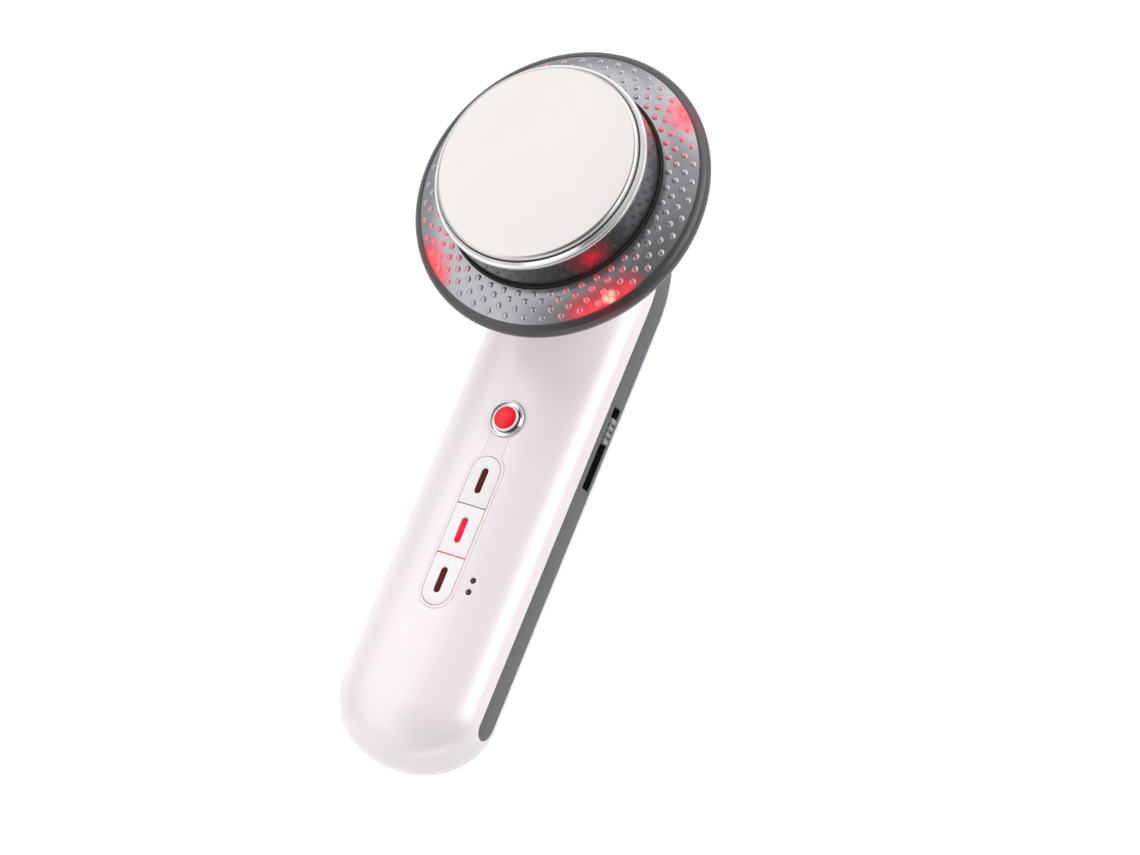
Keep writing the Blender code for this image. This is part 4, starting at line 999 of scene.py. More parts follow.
@dataclass
class Casing:
    """Both shells of the handle, the grey side bands, a black box in the slot as painted shade, and the supply inlet.
    """

    shape: HandleShape
    layout: ControlLayout
    pearl: Material
    wall: float = 0.0018
    seam: float = 0.0001
    band_half: float = 0.0031
    band_depth: float = 0.0009
    band_low: float = -0.0742106
    band_high: float = 0.0521894
    band_gap: float = 0.00012
    band_floor_gap: float = 0.0002
    slot_front: float = 0.0017
    slot_rear: float = 0.0015
    slot_low: float = -0.0104106
    slot_high: float = 0.0107894
    slot_depth: float = 0.0045
    # Sizes of the black box in the slot that paints the slot's shade.
    shade_box_depth: float = 0.0040
    shade_box_wall: float = 0.00015
    shade_box_gap: float = 0.00002
    shade_box_sunk: float = 0.0001
    recess_depth: float = 0.0011
    recess_gap: float = 0.00007
    lamp_radius: float = 0.00075
    lamp_x: float = 0.0077
    lamp_drops: tuple[float, float] = (0.0391, 0.0420)
    lamp_depth: float = 0.006
    screw_radius: float = 0.0025
    screw_depth: float = 0.0045
    inlet_radius: float = 0.0029
    inlet_gap: float = 0.00012
    inlet_sunk: float = 0.00015
    bore_radius: float = 0.0024
    pin_radius: float = 0.0010
    grey: Finish = Finish("band_grey", srgb(101, 100, 104), 0.55, 0.0, 0.1, 0.06, 300.0, 0.00002, 1600.0)
    # Black of the real inlet, also given to the black box that paints the slot's shade.
    black: Finish = Finish("lining_black", srgb(24, 23, 25), 0.5, 0.0, 0.1, 0.1, 200.0)

    def band_tool(self, name: str, side: Side, grow: float) -> Piece:
        """Makes a bar with a side band's outline, as the start of the band or as a tool.

        Args:
            name: Its name.
            side: The handle's side.
            grow: Growth over the band.

        Returns:
            The bar.
        """
        turn = Matrix(((0, 0, side.value, 0), (0, 1, 0, 0), (1, 0, 0, self.shape.parting), (0, 0, 0, 1)))
        outline = pill(self.band_half, self.band_low, self.band_high, 24, grow)
        return tidy(slab(name, outline, 0, self.shape.half_width * 1.2, turn))

    def slot_tool(self) -> Piece:
        """Makes the tool of the slide switch's slot."""
        wide, parting = self.shape.half_width, self.shape.parting
        return box("slot_tool", (wide - self.slot_depth, self.slot_low, parting - self.slot_rear),
                   (wide * 1.2, self.slot_high, parting + self.slot_front))

    def band(self, name: str, side: Side) -> Piece:
        """Makes a side band from the handle's skin.

        Args:
            name: Its name.
            side: The handle's side.

        Returns:
            The band.
        """
        piece = self.band_tool(name, side, 0.0)
        cut(piece, self.shape.solid("skin"), Cut.KEEP)
        cut(piece, self.shape.solid("back", -self.band_depth))
        if side is Side.RIGHT:
            cut(piece, self.slot_tool())
        return smooth(tidy(piece, False), 35)

    def open_sides(self, piece: Piece) -> Piece:
        """Cuts the recesses of both bands and the switch's slot into a shell.

        Args:
            piece: The shell.

        Returns:
            The same shell, smoothed.
        """
        for side in Side:
            recess = self.band_tool("recess", side, self.band_gap)
            cut(piece, cut(recess, self.shape.solid("recess_floor", -self.band_depth - self.band_floor_gap)))
        cut(piece, self.slot_tool())
        return smooth(tidy(piece, False), 28)

    def front(self) -> Piece:
        """Makes the front shell with its panel recess and lamp holes.

        Returns:
            The shell.
        """
        piece = self.shape.shell("handle_front_shell", Half.FRONT, self.wall, self.seam)
        front, past = self.shape.front, self.shape.front + 2 * TOOL_REACH
        outline = self.layout.keyhole(self.layout.margin + self.recess_gap)
        cut(piece, slab("panel_tool", outline, front - self.recess_depth, past))
        for drop in self.lamp_drops:
            y = self.layout.power_y - drop
            cut(piece, rod("lamp_tool", self.lamp_radius, (self.lamp_x, y, front - self.lamp_depth),
                           (self.lamp_x, y, past)))
        return self.open_sides(piece)

    def rear(self) -> Piece:
        """Makes the rear shell with its screw holes and the inlet's opening.

        Returns:
            The shell.
        """
        piece = self.shape.shell("handle_rear_shell", Half.REAR, self.wall, self.seam)
        past = 2 * TOOL_REACH
        for number in range(1, 5):
            x, y, _ = middle_of(f"cover_screw_{number}")
            cut(piece, rod("screw_tool", self.screw_radius, (x, y, -past), (x, y, self.screw_depth)))
        z = middle_of("dc_socket")[2]
        cut(piece, rod("inlet_tool", self.inlet_radius, (0, self.shape.lower_end - past, z),
                       (0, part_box("dc_socket")[0].y + past, z)))
        return self.open_sides(piece)

    def slot_lining(self) -> Piece:
        """Makes a black box inside the slide switch's slot as painted shade.

        Returns:
            The black box of painted shade.
        """
        wide, parting, gap, wall = self.shape.half_width, self.shape.parting, self.shade_box_gap, self.shade_box_wall
        low = (wide - self.shade_box_depth, self.slot_low + gap, parting - self.slot_rear + gap)
        high = (wide * 1.1, self.slot_high - gap, parting + self.slot_front - gap)
        piece = box("slot_lining", low, high)
        cut(piece, box("lining_room", (low[0] - TOOL_REACH, low[1] + wall, low[2] + wall),
                       (high[0] + TOOL_REACH, high[1] - wall, high[2] - wall)))
        cut(piece, self.shape.solid("lining_skin", -self.shade_box_sunk), Cut.KEEP)
        return smooth(tidy(piece, False), 35)

    def inlet(self) -> Piece:
        """Makes the supply inlet, whose mouth follows the handle's end, with its pin.

        Returns:
            The inlet.
        """
        low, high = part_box("dc_socket")
        x, _, z = middle_of("dc_socket")
        end, radius = self.shape.lower_end, self.inlet_radius - self.inlet_gap
        piece = rod("supply_inlet", radius, (x, end - TOOL_REACH, z), (x, low.y + 0.0045, z), 64)
        cut(piece, self.shape.solid("inlet_skin", -self.inlet_sunk), Cut.KEEP)
        body = box("inlet_body", (x - radius, low.y + 0.0040, z - radius), (x + radius, high.y, z + radius))
        cut(piece, body, Cut.ADD)
        cut(piece, rod("inlet_bore", self.bore_radius, (x, end - 2 * TOOL_REACH, z), (x, low.y + 0.0085, z)))
        soften(piece, 0.00012, 2, 50)
        pin = rod("inlet_pin", self.pin_radius, (x, low.y + 0.0012, z), (x, low.y + 0.0090, z), 32)
        return smooth(gathered("supply_inlet", [piece, soften(pin, 0.0003, 3)]), 40)

    def build(self) -> None:
        """Builds and hands over the casing's pieces."""
        grey, black = self.grey.material(), self.black.material()
        hand_over(self.front(), self.pearl, "pearl_shell", "front_cover")
        hand_over(self.rear(), self.pearl, "pearl_shell", "rear_cover")
        # The black box in the slot is painted shade.
        hand_over(self.slot_lining(), black, "black_plastic")
        hand_over(self.inlet(), black, "black_plastic", "dc_socket")
        hand_over(self.band("grey_band_right", Side.RIGHT), grey, "grey_band", "side_band_right")
        hand_over(self.band("grey_band_left", Side.LEFT), grey, "grey_band", "side_band_left")


@dataclass
class TreatmentHead:
    """Housing, dimpled light ring, smoked collar and steel plate, with heights from the ring face's edge."""

    shape: HandleShape
    pearl: Material
    collar_radius: float = 0.0262
    collar_top: float = 0.01115
    collar_wall: float = 0.0018
    collar_bevel: float = 0.0003
    flange: float = 0.0019
    flange_top: float = -0.0083
    flange_low: float = -0.0095
    seal_inner: float = 0.02635
    seal_outer: float = 0.02685
    seal_top: float = 0.0031
    seal_low: float = 0.0004
    seal_round: float = 0.0002
    ring_bore: float = 0.0270
    ring_face: float = 0.0350
    ring_edge: float = 0.0020
    ring_rise: float = 0.0023
    ring_curve: float = 1.7
    ring_wall: float = 0.0016
    ring_skirt: float = 0.0012
    ring_depth: float = 0.0050
    ring_steps: int = 28
    plate_height: float = 0.0143
    plate_radius: float = 0.02495
    plate_wall: float = 0.0012
    plate_foot: float = 0.0106
    bezel_outer: float = 0.0264
    bezel_inner: float = 0.02518
    bezel_top: float = 0.0130
    bezel_step: float = 0.00080
    bezel_low: float = 0.0113
    line_gap: float = 0.00003
    line_sunk: float = 0.00015
    lamp_reach: float = 0.0335
    hidden_lamp: int = 1
    hidden_shift: float = 0.0035
    bump_radius: float = 0.00080
    bump_height: float = 0.00026
    bump_foot: float = 0.00015
    bump_count: int = 45
    bump_phase: float = math.radians(-111.6)
    rows: Outline = field(default_factory=lambda: [(0.03368, 0.0), (0.03192, 0.5), (0.02998, 1.0), (0.02824, 1.5)])
    neck: float = 0.0125
    neck_end: float = -0.0260
    bowl_top: float = -0.0056
    bowl_wall: float = 0.0028
    spigot_end: float = -0.0285
    handle_gap: float = 0.0002
    steps: int = 256
    bowl_steps: int = 192

    def __post_init__(self) -> None:
        """Finds the head's axis from the record's plate mount."""
        mount = next(m for m in frame["record"]["mounts"] if m["name"] == "treatment_plate_face")
        axis = Vector(mount["axis"]).normalized()
        across = Vector((1, 0, 0))
        turn = Matrix((across, axis.cross(across), axis)).transposed().to_4x4()
        self.place = Matrix.Translation(Vector(mount["pos_m"]) - axis * self.plate_height) @ turn

    def at(self, radius: float, degrees: float, height: float) -> Vector:
        """Returns the point at a radius, direction and height of the head."""
        angle = math.radians(degrees)
        return self.place @ Vector((radius * math.cos(angle), radius * math.sin(angle), height))

    def lamp_points(self, height: float) -> list[Vector]:
        """Returns the points of the ring that the four lamps light most, at a height."""
        reaches = [self.lamp_reach - (self.hidden_shift if i == self.hidden_lamp else 0.0) for i in range(4)]
        return [self.at(reach, 45 + 90 * i, height) for i, reach in enumerate(reaches)]

    def face_height(self, radius: float) -> float:
        """Returns the height of the light ring's face."""
        share = (radius - self.ring_bore) / (self.ring_face - self.ring_bore)
        return self.ring_rise * (1 - max(share, 0.0) ** self.ring_curve)

    def on_axis(self, name: str, profile: Outline, degrees: float = 40) -> Piece:
        """Turns a profile about the head's axis."""
        return smooth(turned(name, profile, self.steps, self.place), degrees)

    def ring(self) -> Piece:
        """Makes the light ring's face as a thin dished plate.

        Returns:
            The face.
        """
        width = self.ring_face - self.ring_bore
        radii = [self.ring_bore + width * i / self.ring_steps for i in range(self.ring_steps + 1)]
        top = [(radius, self.face_height(radius)) for radius in radii]
        under = [(radius, height - self.ring_wall) for radius, height in reversed(top[:-1:4])]
        return self.on_axis("light_ring_face", top + [(self.ring_face, -self.ring_skirt)] + under)

    def rim(self) -> Piece:
        """Makes the ring's rounded dark rim.

        Returns:
            The rim.
        """
        shares = ((0.0, -0.02), (0.10, -0.03), (0.30, 0.01), (0.52, 0.07), (0.74, 0.14), (0.90, 0.24), (0.98, 0.33),
                  (1.0, 0.42), (0.96, 0.53), (0.86, 0.66), (0.68, 0.79), (0.42, 0.91), (0.10, 0.985), (-0.3, 1.0),
                  (-0.5, 0.98), (-0.5, 0.30), (0.0, 0.24))
        profile = [(self.ring_face + self.ring_edge * out, -self.ring_depth * down) for out, down in shares]
        return self.on_axis("light_ring_rim", profile, 50)

    def dimples(self) -> Piece:
        """Makes the four rows of small domes on the ring's face.

        Returns:
            All domes as one piece.
        """
        shares = (0.0, 0.3, 0.5, 0.68, 0.84, 1.0)
        profile = [(self.bump_radius * out, self.bump_height * (1 - out ** 3)) for out in shares]
        profile.append((self.bump_radius * 1.1, -self.bump_foot))
        first = turned("dome", profile, 12, Matrix.Identity(4), False)
        domes = []
        for radius, shift in self.rows:
            slope = (self.face_height(radius + 0.0002) - self.face_height(radius - 0.0002)) / 0.0004
            stand = Matrix.Translation((radius, 0, self.face_height(radius)))
            stand = stand @ Matrix.Rotation(-math.atan(slope), 4, "Y")
            for i in range(self.bump_count):
                angle = self.bump_phase + math.tau * (i + shift) / self.bump_count
                bump = bpy.data.objects.new("dome", first.data.copy())
                bpy.context.scene.collection.objects.link(bump)
                bump.data.transform(self.place @ Matrix.Rotation(angle, 4, "Z") @ stand)
                domes.append(bump)
        bpy.data.objects.remove(first, do_unlink=True)
        return smooth(gathered("light_ring_domes", domes), 60)

    def collar(self) -> Piece:
        """Makes the smoked collar with its hidden flange.

        Returns:
            The collar.
        """
        radius, top, bevel = self.collar_radius, self.collar_top, self.collar_bevel
        inner = radius - self.collar_wall
        return self.on_axis("smoked_collar", [
            (radius - bevel, top), (radius, top - bevel), (radius, self.flange_top),
            (radius + self.flange, self.flange_top), (radius + self.flange, self.flange_low),
            (inner, self.flange_low), (inner, top)], 30)

    def seal(self) -> Piece:
        """Makes the black seal at the collar's foot.

        Returns:
            The seal.
        """
        profile = [(self.seal_inner, self.seal_top)] + arc(self.seal_outer, self.seal_top, self.seal_round, 3)
        return self.on_axis("foot_seal", profile + [(self.seal_outer, self.seal_low), (self.seal_inner, self.seal_low)])

    def plate(self) -> Piece:
        """Makes the steel plate with its rounded edge.

        Returns:
            The plate.
        """
        radius, top, wall = self.plate_radius, self.plate_height, self.plate_wall
        return self.on_axis("steel_plate", [(0.0, top), (radius * 0.5, top)] + arc(radius, top, 0.0009, 10) + [
            (radius, self.plate_foot), (radius - wall, self.plate_foot), (radius - wall, top - wall),
            (0.0, top - wall)])

    def bezel(self) -> Piece:
        """Makes the bright steel ring with its rounded outer edge and inner groove.

        Returns:
            The ring.
        """
        top, step, lip = self.bezel_top, self.bezel_top - self.bezel_step, self.bezel_outer - 0.00045
        return self.on_axis("steel_bezel", [
            (self.bezel_inner, top - 0.00012), (self.bezel_inner + 0.00012, top), (lip - 0.0002, top - 0.00075),
            (lip, step)] + arc(self.bezel_outer, step, 0.00035, 6) + [
            (self.bezel_outer, self.bezel_low), (self.bezel_inner, self.bezel_low)])

    def insulator(self) -> Piece:
        """Makes the thin dark ring between bezel and plate.

        Returns:
            The ring.
        """
        inner, outer = self.plate_radius + self.line_gap, self.bezel_inner - self.line_gap
        low, top = self.bezel_low, self.bezel_top - self.line_sunk
        return self.on_axis("dark_line_ring", [(inner, top), (outer, top), (outer, low), (inner, low)])

    def housing(self) -> Piece:
        """Makes the pearl bowl that joins head and handle.

        Returns:
            The bowl.
        """
        low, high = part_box("head_housing")
        reach = (high.x - low.x) / 2
        neck, top, wall = self.neck, self.bowl_top, self.bowl_wall
        shares = ((1.0, 0.0), (0.985, 0.035), (0.95, 0.08), (0.90, 0.14), (0.79, 0.255), (0.68, 0.335), (0.58, 0.405),
                  (0.47, 0.475), (0.37, 0.545), (0.27, 0.62), (0.19, 0.70), (0.12, 0.78), (0.06, 0.86), (0.02, 0.93),
                  (0.0, 1.0))
        profile = [(reach - 0.0009, -0.0051), (reach - 0.0003, -0.0051), (reach, -0.0053)]
        profile += [(neck + (reach - neck) * out, top - (top - self.neck_end) * down) for out, down in shares]
        profile += [(neck, self.spigot_end), (0.0, self.spigot_end), (0.0, -0.0155), (0.0165, -0.0155),
                    (0.0225, -0.0115), (reach - wall, -0.0100), (reach - wall, -0.0051)]
        piece = turned("head_bowl", profile, self.bowl_steps, self.place)
        cut(piece, self.shape.solid("handle_room", self.handle_gap))
        return smooth(tidy(piece, False), 35)

    def build_lit(self) -> None:
        """Builds and hands over the smoked pieces, with painted glow near the lamps."""
        # Painted glow on the face, domes and rim; on the collar wall the painted red glow is speckled as a painted
        # reflection of the ring's domes.
        walls = [self.at(self.collar_radius, degrees, 0.0072) for degrees in (45, 135, 228, 320)]
        spread = ((46, 0.0343), (50, 0.0346), (135, 0.0308), (225, 0.0343), (230, 0.0346), (234, 0.0346),
                  (305, 0.0346), (310, 0.0343), (315, 0.0340), (320, 0.0340), (325, 0.0346))
        low = [self.at(radius, degrees, 0.0002) for degrees, radius in spread]
        spots = ((316.0, 0.0335), (318.7, 0.0330), (317.6, 0.0343))
        hot = [self.at(radius, degrees, 0.0005) for degrees, radius in spots]
        wide, rims = self.lamp_points(0.0004), self.lamp_points(-0.002)
        glows = {
            "face": Glow(low, 0.0052, (0.62, 0.010, 0.028), 0.0027, (1.0, 0.055, 0.070), hot, fade=0.9),
            "dome": Glow(wide, 0.0140, (0.70, 0.04, 0.09), 0.0055, (1.0, 0.16, 0.18), hot, fade=1.0),
            "rim": Glow(rims, 0.0110, (0.05, 0.0, 0.0), 0.0050, (0.12, 0.0, 0.004)),
            "wall": Glow(walls, 0.0066, (0.42, 0.0, 0.012), 0.0030, (0.60, 0.004, 0.02), reflection_speckle=0.85, fade=1.1),
        }
        face = SmokedFinish("ring_smoke", srgb(157, 156, 161), glows["face"], 0.26, 0.2, 0.78).material()
        domes = SmokedFinish("dome_smoke", srgb(168, 168, 173), glows["dome"], 0.32, 0.1, 0.74).material()
        rim = SmokedFinish("rim_smoke", srgb(54, 53, 57), glows["rim"], 0.42, 0.32, 0.0).material()
        collar = SmokedFinish("collar_smoke", srgb(54, 54, 58), glows["wall"], 0.16, 0.2, 0.0).material()
        hand_over(self.ring(), face, "smoked_ring", "light_ring")
        hand_over(self.rim(), rim, "smoked_ring", "light_ring")
        hand_over(self.dimples(), domes, "smoked_ring", "light_ring")
        hand_over(self.collar(), collar, "smoked_collar", "probe_collar")

    def build(self) -> None:
        """Builds and hands over the head's pieces."""
        hand_over(self.housing(), self.pearl, "pearl_shell", "head_housing")
        self.build_lit()
        centre = self.place @ Vector((0, 0, self.plate_height))
        steel = MetalFinish("plate_steel", srgb(196, 192, 190), 0.30, centre, 3000.0, 0.0000003, 0.02).material()
        bright = MetalFinish("bezel_steel_lines", srgb(200, 198, 198), 0.20, centre, 4000.0, 0.000001).material()
        black = Finish("seal_rubber", srgb(14, 13, 15), 0.75, 0.0, 0.1, 0.2, 300.0).material()
        line = Finish("insulator_grey", srgb(88, 86, 88), 0.6, 0.0, 0.1, 0.1, 300.0).material()
        hand_over(self.seal(), black, "black_seal", "collar_seal")
        hand_over(self.plate(), steel, "probe_steel", "probe_plate")
        hand_over(self.bezel(), bright, "bezel_steel", "probe_bezel")
        hand_over(self.insulator(), line, "black_seal", "insulating_ring")


@dataclass
class Controls:
    """Power button, key strip with its light windows, panel and level lamps, with levels from the handle's front."""

    shape: HandleShape
    layout: ControlLayout
    side_gap: float = 0.00019
    cell_gap: float = 0.00016
    tool_gap: float = 0.00008
    top_layer: float = 0.0003
    slices: int = 12
    panel_depth: float = 0.0009
    panel_proud: float = 0.00006
    panel_half: float = 0.0054
    key_depth: float = 0.0024
    key_proud: float = 0.00012
    window_half: float = 0.00080
    window_reach: float = 0.00315
    window_proud: float = 0.00004
    window_depth: float = 0.0020
    ring_width: float = 0.0011
    ring_proud: float = 0.0006
    ring_dish: float = 0.00014
    rim_width: float = 0.00042
    cap_gap: float = 0.00125
    cap_proud: float = 0.0011
    cap_wall: float = 0.00045
    cap_depth: float = 0.0030
    sleeve_low: float = -0.0012
    sleeve_high: float = 0.00088
    lens_gap: float = 0.00048
    lens_edge: float = 0.00105
    lens_rise: float = 0.00055
    level_radius: float = 0.00060
    level_rise: float = 0.00025

    def follow(self, obj: Piece, proud: float, width: float) -> Piece:
        """Lays a flat plate's top on the handle's curve.

        Args:
            obj: The plate.
            proud: How far its top stands over the handle.
            width: Half the plate's width.

        Returns:
            The same plate.
        """
        slice_across(obj, [width * (2 * i / self.slices - 1) for i in range(1, self.slices)], (1, 0, 0))
        for vert in obj.data.vertices:
            if vert.co.z > self.shape.front - self.top_layer:
                vert.co.z = self.shape.front_z(vert.co.x) + proud
        return obj

    def panel(self) -> Piece:
        """Makes the keyhole-shaped panel with its two openings.

        Returns:
            The panel.
        """
        layout, front = self.layout, self.shape.front
        low, high = front - self.panel_depth - TOOL_REACH, front + TOOL_REACH
        piece = slab("keyhole_panel", layout.keyhole(layout.margin), front - self.panel_depth, front)
        cut(piece, slab("strip_tool", pill(layout.strip_half, layout.strip_low, layout.strip_high), low, high))
        cut(piece, rod("power_tool", layout.bezel_radius + self.tool_gap, (0, layout.power_y, low),
                       (0, layout.power_y, high), 96))
        soften(self.follow(piece, self.panel_proud, self.panel_half), 0.00008, 1)
        return smooth(tidy(piece, False), 35)

    def key(self, number: int, name: str) -> Piece:
        """Makes one key with its window's opening.

        Args:
            number: Its place from the top.
            name: Name of the piece.

        Returns:
            The key.
        """
        low, high = self.layout.key_span(number)
        first, last = number == 0, number == 2
        low += self.side_gap if last else self.cell_gap
        high -= self.side_gap if first else self.cell_gap
        half, front = self.layout.strip_half - self.side_gap, self.shape.front
        base = front - self.key_depth
        piece = slab(name, pill(half, low, high, 24, 0.0, last, first), base, front)
        cut(piece, self.window_slab("window_tool", number, self.tool_gap, base - TOOL_REACH, front + TOOL_REACH))
        soften(self.follow(piece, self.key_proud, half), 0.00012, 2)
        return smooth(tidy(piece, False), 35)

    def window_slab(self, name: str, number: int, grow: float, low: float, high: float) -> Piece:
        """Makes the rounded bar of a key's window."""
        middle = self.layout.key_middle(number)
        outline = pill(self.window_half, middle - self.window_reach, middle + self.window_reach, 12, grow)
        return slab(name, outline, low, high)

    def window(self, number: int, name: str) -> Piece:
        """Makes a key's light window with a softened edge."""
        top = self.shape.front + self.window_proud
        return smooth(soften(self.window_slab(name, number, 0.0, top - self.window_depth, top), 0.00015, 2), 35)

    def on_button(self, name: str, profile: Outline) -> Piece:
        """Turns a profile about the power button's axis."""
        return smooth(turned(name, profile, 96, Matrix.Translation((0, self.layout.power_y, 0))), 40)

    def power_ring(self) -> Piece:
        """Makes the chrome ring round the power button.

        Returns:
            The ring.
        """
        outer = self.layout.bezel_radius
        top, dish = self.shape.front + self.ring_proud, self.shape.front + self.ring_dish
        inner, rim = outer - self.ring_width, outer - self.rim_width
        profile = [(inner, dish - 0.0001), (inner + 0.00008, dish), (rim - 0.00012, dish + 0.00003),
                   (rim - 0.00004, dish + 0.00010), (rim, top - 0.00014), (rim + 0.00005, top - 0.00004),
                   (rim + 0.00014, top)]
        profile += arc(outer, top, 0.00026, 6) + [(outer, top - 0.0020), (inner, top - 0.0020)]
        return self.on_button("power_ring", profile)

    def power_cap(self) -> Piece:
        """Makes the white cap with its raised edge.

        Returns:
            The cap.
        """
        radius, top = self.layout.bezel_radius - self.cap_gap, self.shape.front + self.cap_proud
        inner, foot = radius - self.cap_wall, top - self.cap_depth
        profile = [(inner, top - 0.0010), (inner, top - 0.0001), (radius - 0.00037, top)]
        return self.on_button("power_cap", profile + arc(radius, top, 0.00018, 4) + [(radius, foot), (inner, foot)])

    def power_sleeve(self) -> Piece:
        """Makes the thin polished sleeve round the cap's wall.

        Returns:
            The sleeve.
        """
        radius = self.layout.bezel_radius - self.cap_gap + 0.00001
        low, high = self.shape.front + self.sleeve_low, self.shape.front + self.sleeve_high
        return self.on_button("power_sleeve", [(radius, high), (radius + 0.00005, high), (radius + 0.00005, low),
                                               (radius, low)])

    def power_dome(self) -> Piece:
        """Makes the domed red lens."""
        radius, edge = self.layout.bezel_radius - self.cap_gap - self.lens_gap, self.shape.front + self.lens_edge
        profile = dome(radius, edge, self.lens_rise, 12) + [(radius, edge - 0.0008), (0.0, edge - 0.0008)]
        return self.on_button("power_dome", profile)

    def level_lens(self, name: str, node: str) -> Piece:
        """Makes a small domed lens in its hole beside the lowest key.

        Args:
            name: Name of the piece.
            node: The CAD node that it stands for.

        Returns:
            The lens.
        """
        x, y, _ = middle_of(node)
        place = Matrix.Translation((x, y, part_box(node)[1].z - 0.0002))
        profile = dome(self.level_radius, 0.0, self.level_rise, 6) + [(self.level_radius, -0.0014), (0.0, -0.0014)]
        return smooth(turned(name, profile, 32, place), 40)

    def build_button(self) -> None:
        """Builds and hands over the power button."""
        power = Vector((0, self.layout.power_y, self.shape.front + 0.0012))
        chrome = MetalFinish("chrome_ring_bright", srgb(222, 222, 224), 0.06, power, 5000.0, 0.000001).material()
        cap = Finish("cap_white", srgb(246, 236, 238), 0.3, 0.4, 0.1, 0.01, 90.0, 0.000005).material()
        red = LampFinish("power_red", srgb(214, 6, 24), (0.74, 0.008, 0.022), 0.55, power, 0.0036, 0.34, 0.05)
        hand_over(self.power_ring(), chrome, "chrome_ring", "power_bezel")
        hand_over(self.power_cap(), cap, "button_white", "power_button", body="power")
        hand_over(self.power_sleeve(), chrome, "chrome_ring", body="power")
        hand_over(self.power_dome(), red.material(), "red_lens", "power_lens", body="power")

    def build(self) -> None:
        """Builds and hands over the controls."""
        pink = Finish("panel_pearl", srgb(243, 230, 232), 0.36, 0.3, 0.12, 0.012, 50.0, 0.000006).material()
        white = KeyFinish("key_white_satin", srgb(243, 238, 239), self.layout.key_span(1)[0], self.shape.front,
                          (0.62, 0.01, 0.03)).material()
        hand_over(self.panel(), pink, "panel_pink", "control_panel")
        self.build_button()
        looks = (("ems", srgb(88, 10, 20), 0.0), ("infrared", srgb(206, 8, 52), 0.42), ("sonic", srgb(98, 10, 20), 0.0))
        for number, (name, colour, strength) in enumerate(looks):
            centre = (0, self.layout.key_middle(number), self.shape.front)
            lens = LampFinish(name + "_window_red", colour, (0.85, 0.02, 0.07), strength, centre, 0.0042, 0.45,
                              0.0, 0.15).material()
            hand_over(self.key(number, name + "_key_cap"), white, "key_white", name + "_key", body=name)
            hand_over(self.window(number, name + "_light_bar"), lens, "window_red", name + "_window", body=name)
        for name in ("high", "low"):
            node = name + "_lamp_lens"
            dark = LampFinish(name + "_lens_dark", srgb(66, 30, 34), (0.1, 0.0, 0.0), 0.0, middle_of(node), 0.001)
            hand_over(self.level_lens(name + "_level_dome", node), dark.material(), "window_red", node)


@dataclass
class SlideSwitch:
    """The ribbed slide knob in the right band."""

    shape: HandleShape
    rear_height: float = 0.0012
    front_height: float = 0.0009
    proud: float = 0.00015
    end_margin: float = 0.0013
    grooves: int = 3
    groove_half: float = 0.00035
    groove_depth: float = 0.0005
    satin: Finish = Finish("knob_satin", srgb(150, 149, 154), 0.5, 0.0, 0.1, 0.05, 300.0, 0.00002, 1500.0)

    def knob(self) -> Piece:
        """Makes the knob: a bar sliced across, with every second slice sunk as a groove.

        Returns:
            The knob.
        """
        low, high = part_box("level_knob")
        start, end = low.y + self.end_margin, high.y - self.end_margin
        piece = box("ribbed_knob", (low.x, start, self.shape.parting - self.rear_height),
                    (self.shape.half_width + self.proud, end, self.shape.parting + self.front_height))
        pitch = (end - start) / (self.grooves + 1)
        middles = [start + pitch * (i + 1) for i in range(self.grooves)]
        slice_across(piece, [y + side * self.groove_half for y in middles for side in (-1, 1)], (0, 1, 0))
        open_mesh(piece)
        bpy.ops.mesh.select_mode(type="FACE")
        bpy.ops.mesh.select_all(action="DESELECT")
        mesh = bmesh.from_edit_mesh(piece.data)
        for face in mesh.faces:
            away = min(abs(face.calc_center_median().y - y) for y in middles)
            if face.normal.x > 0.9 and away < self.groove_half * 0.5:
                face.select_set(True)
        bmesh.update_edit_mesh(piece.data)
        bpy.ops.mesh.extrude_region_move(TRANSFORM_OT_translate={"value": (-self.groove_depth, 0, 0)})
        bpy.ops.mesh.select_mode(type="VERT")
        close_mesh()
        return smooth(soften(tidy(piece), 0.00012, 2), 40)

    def build(self) -> None:
        """Builds and hands over the knob."""
        hand_over(self.knob(), self.satin.material(), "knob_grey", "level_knob", body="level")


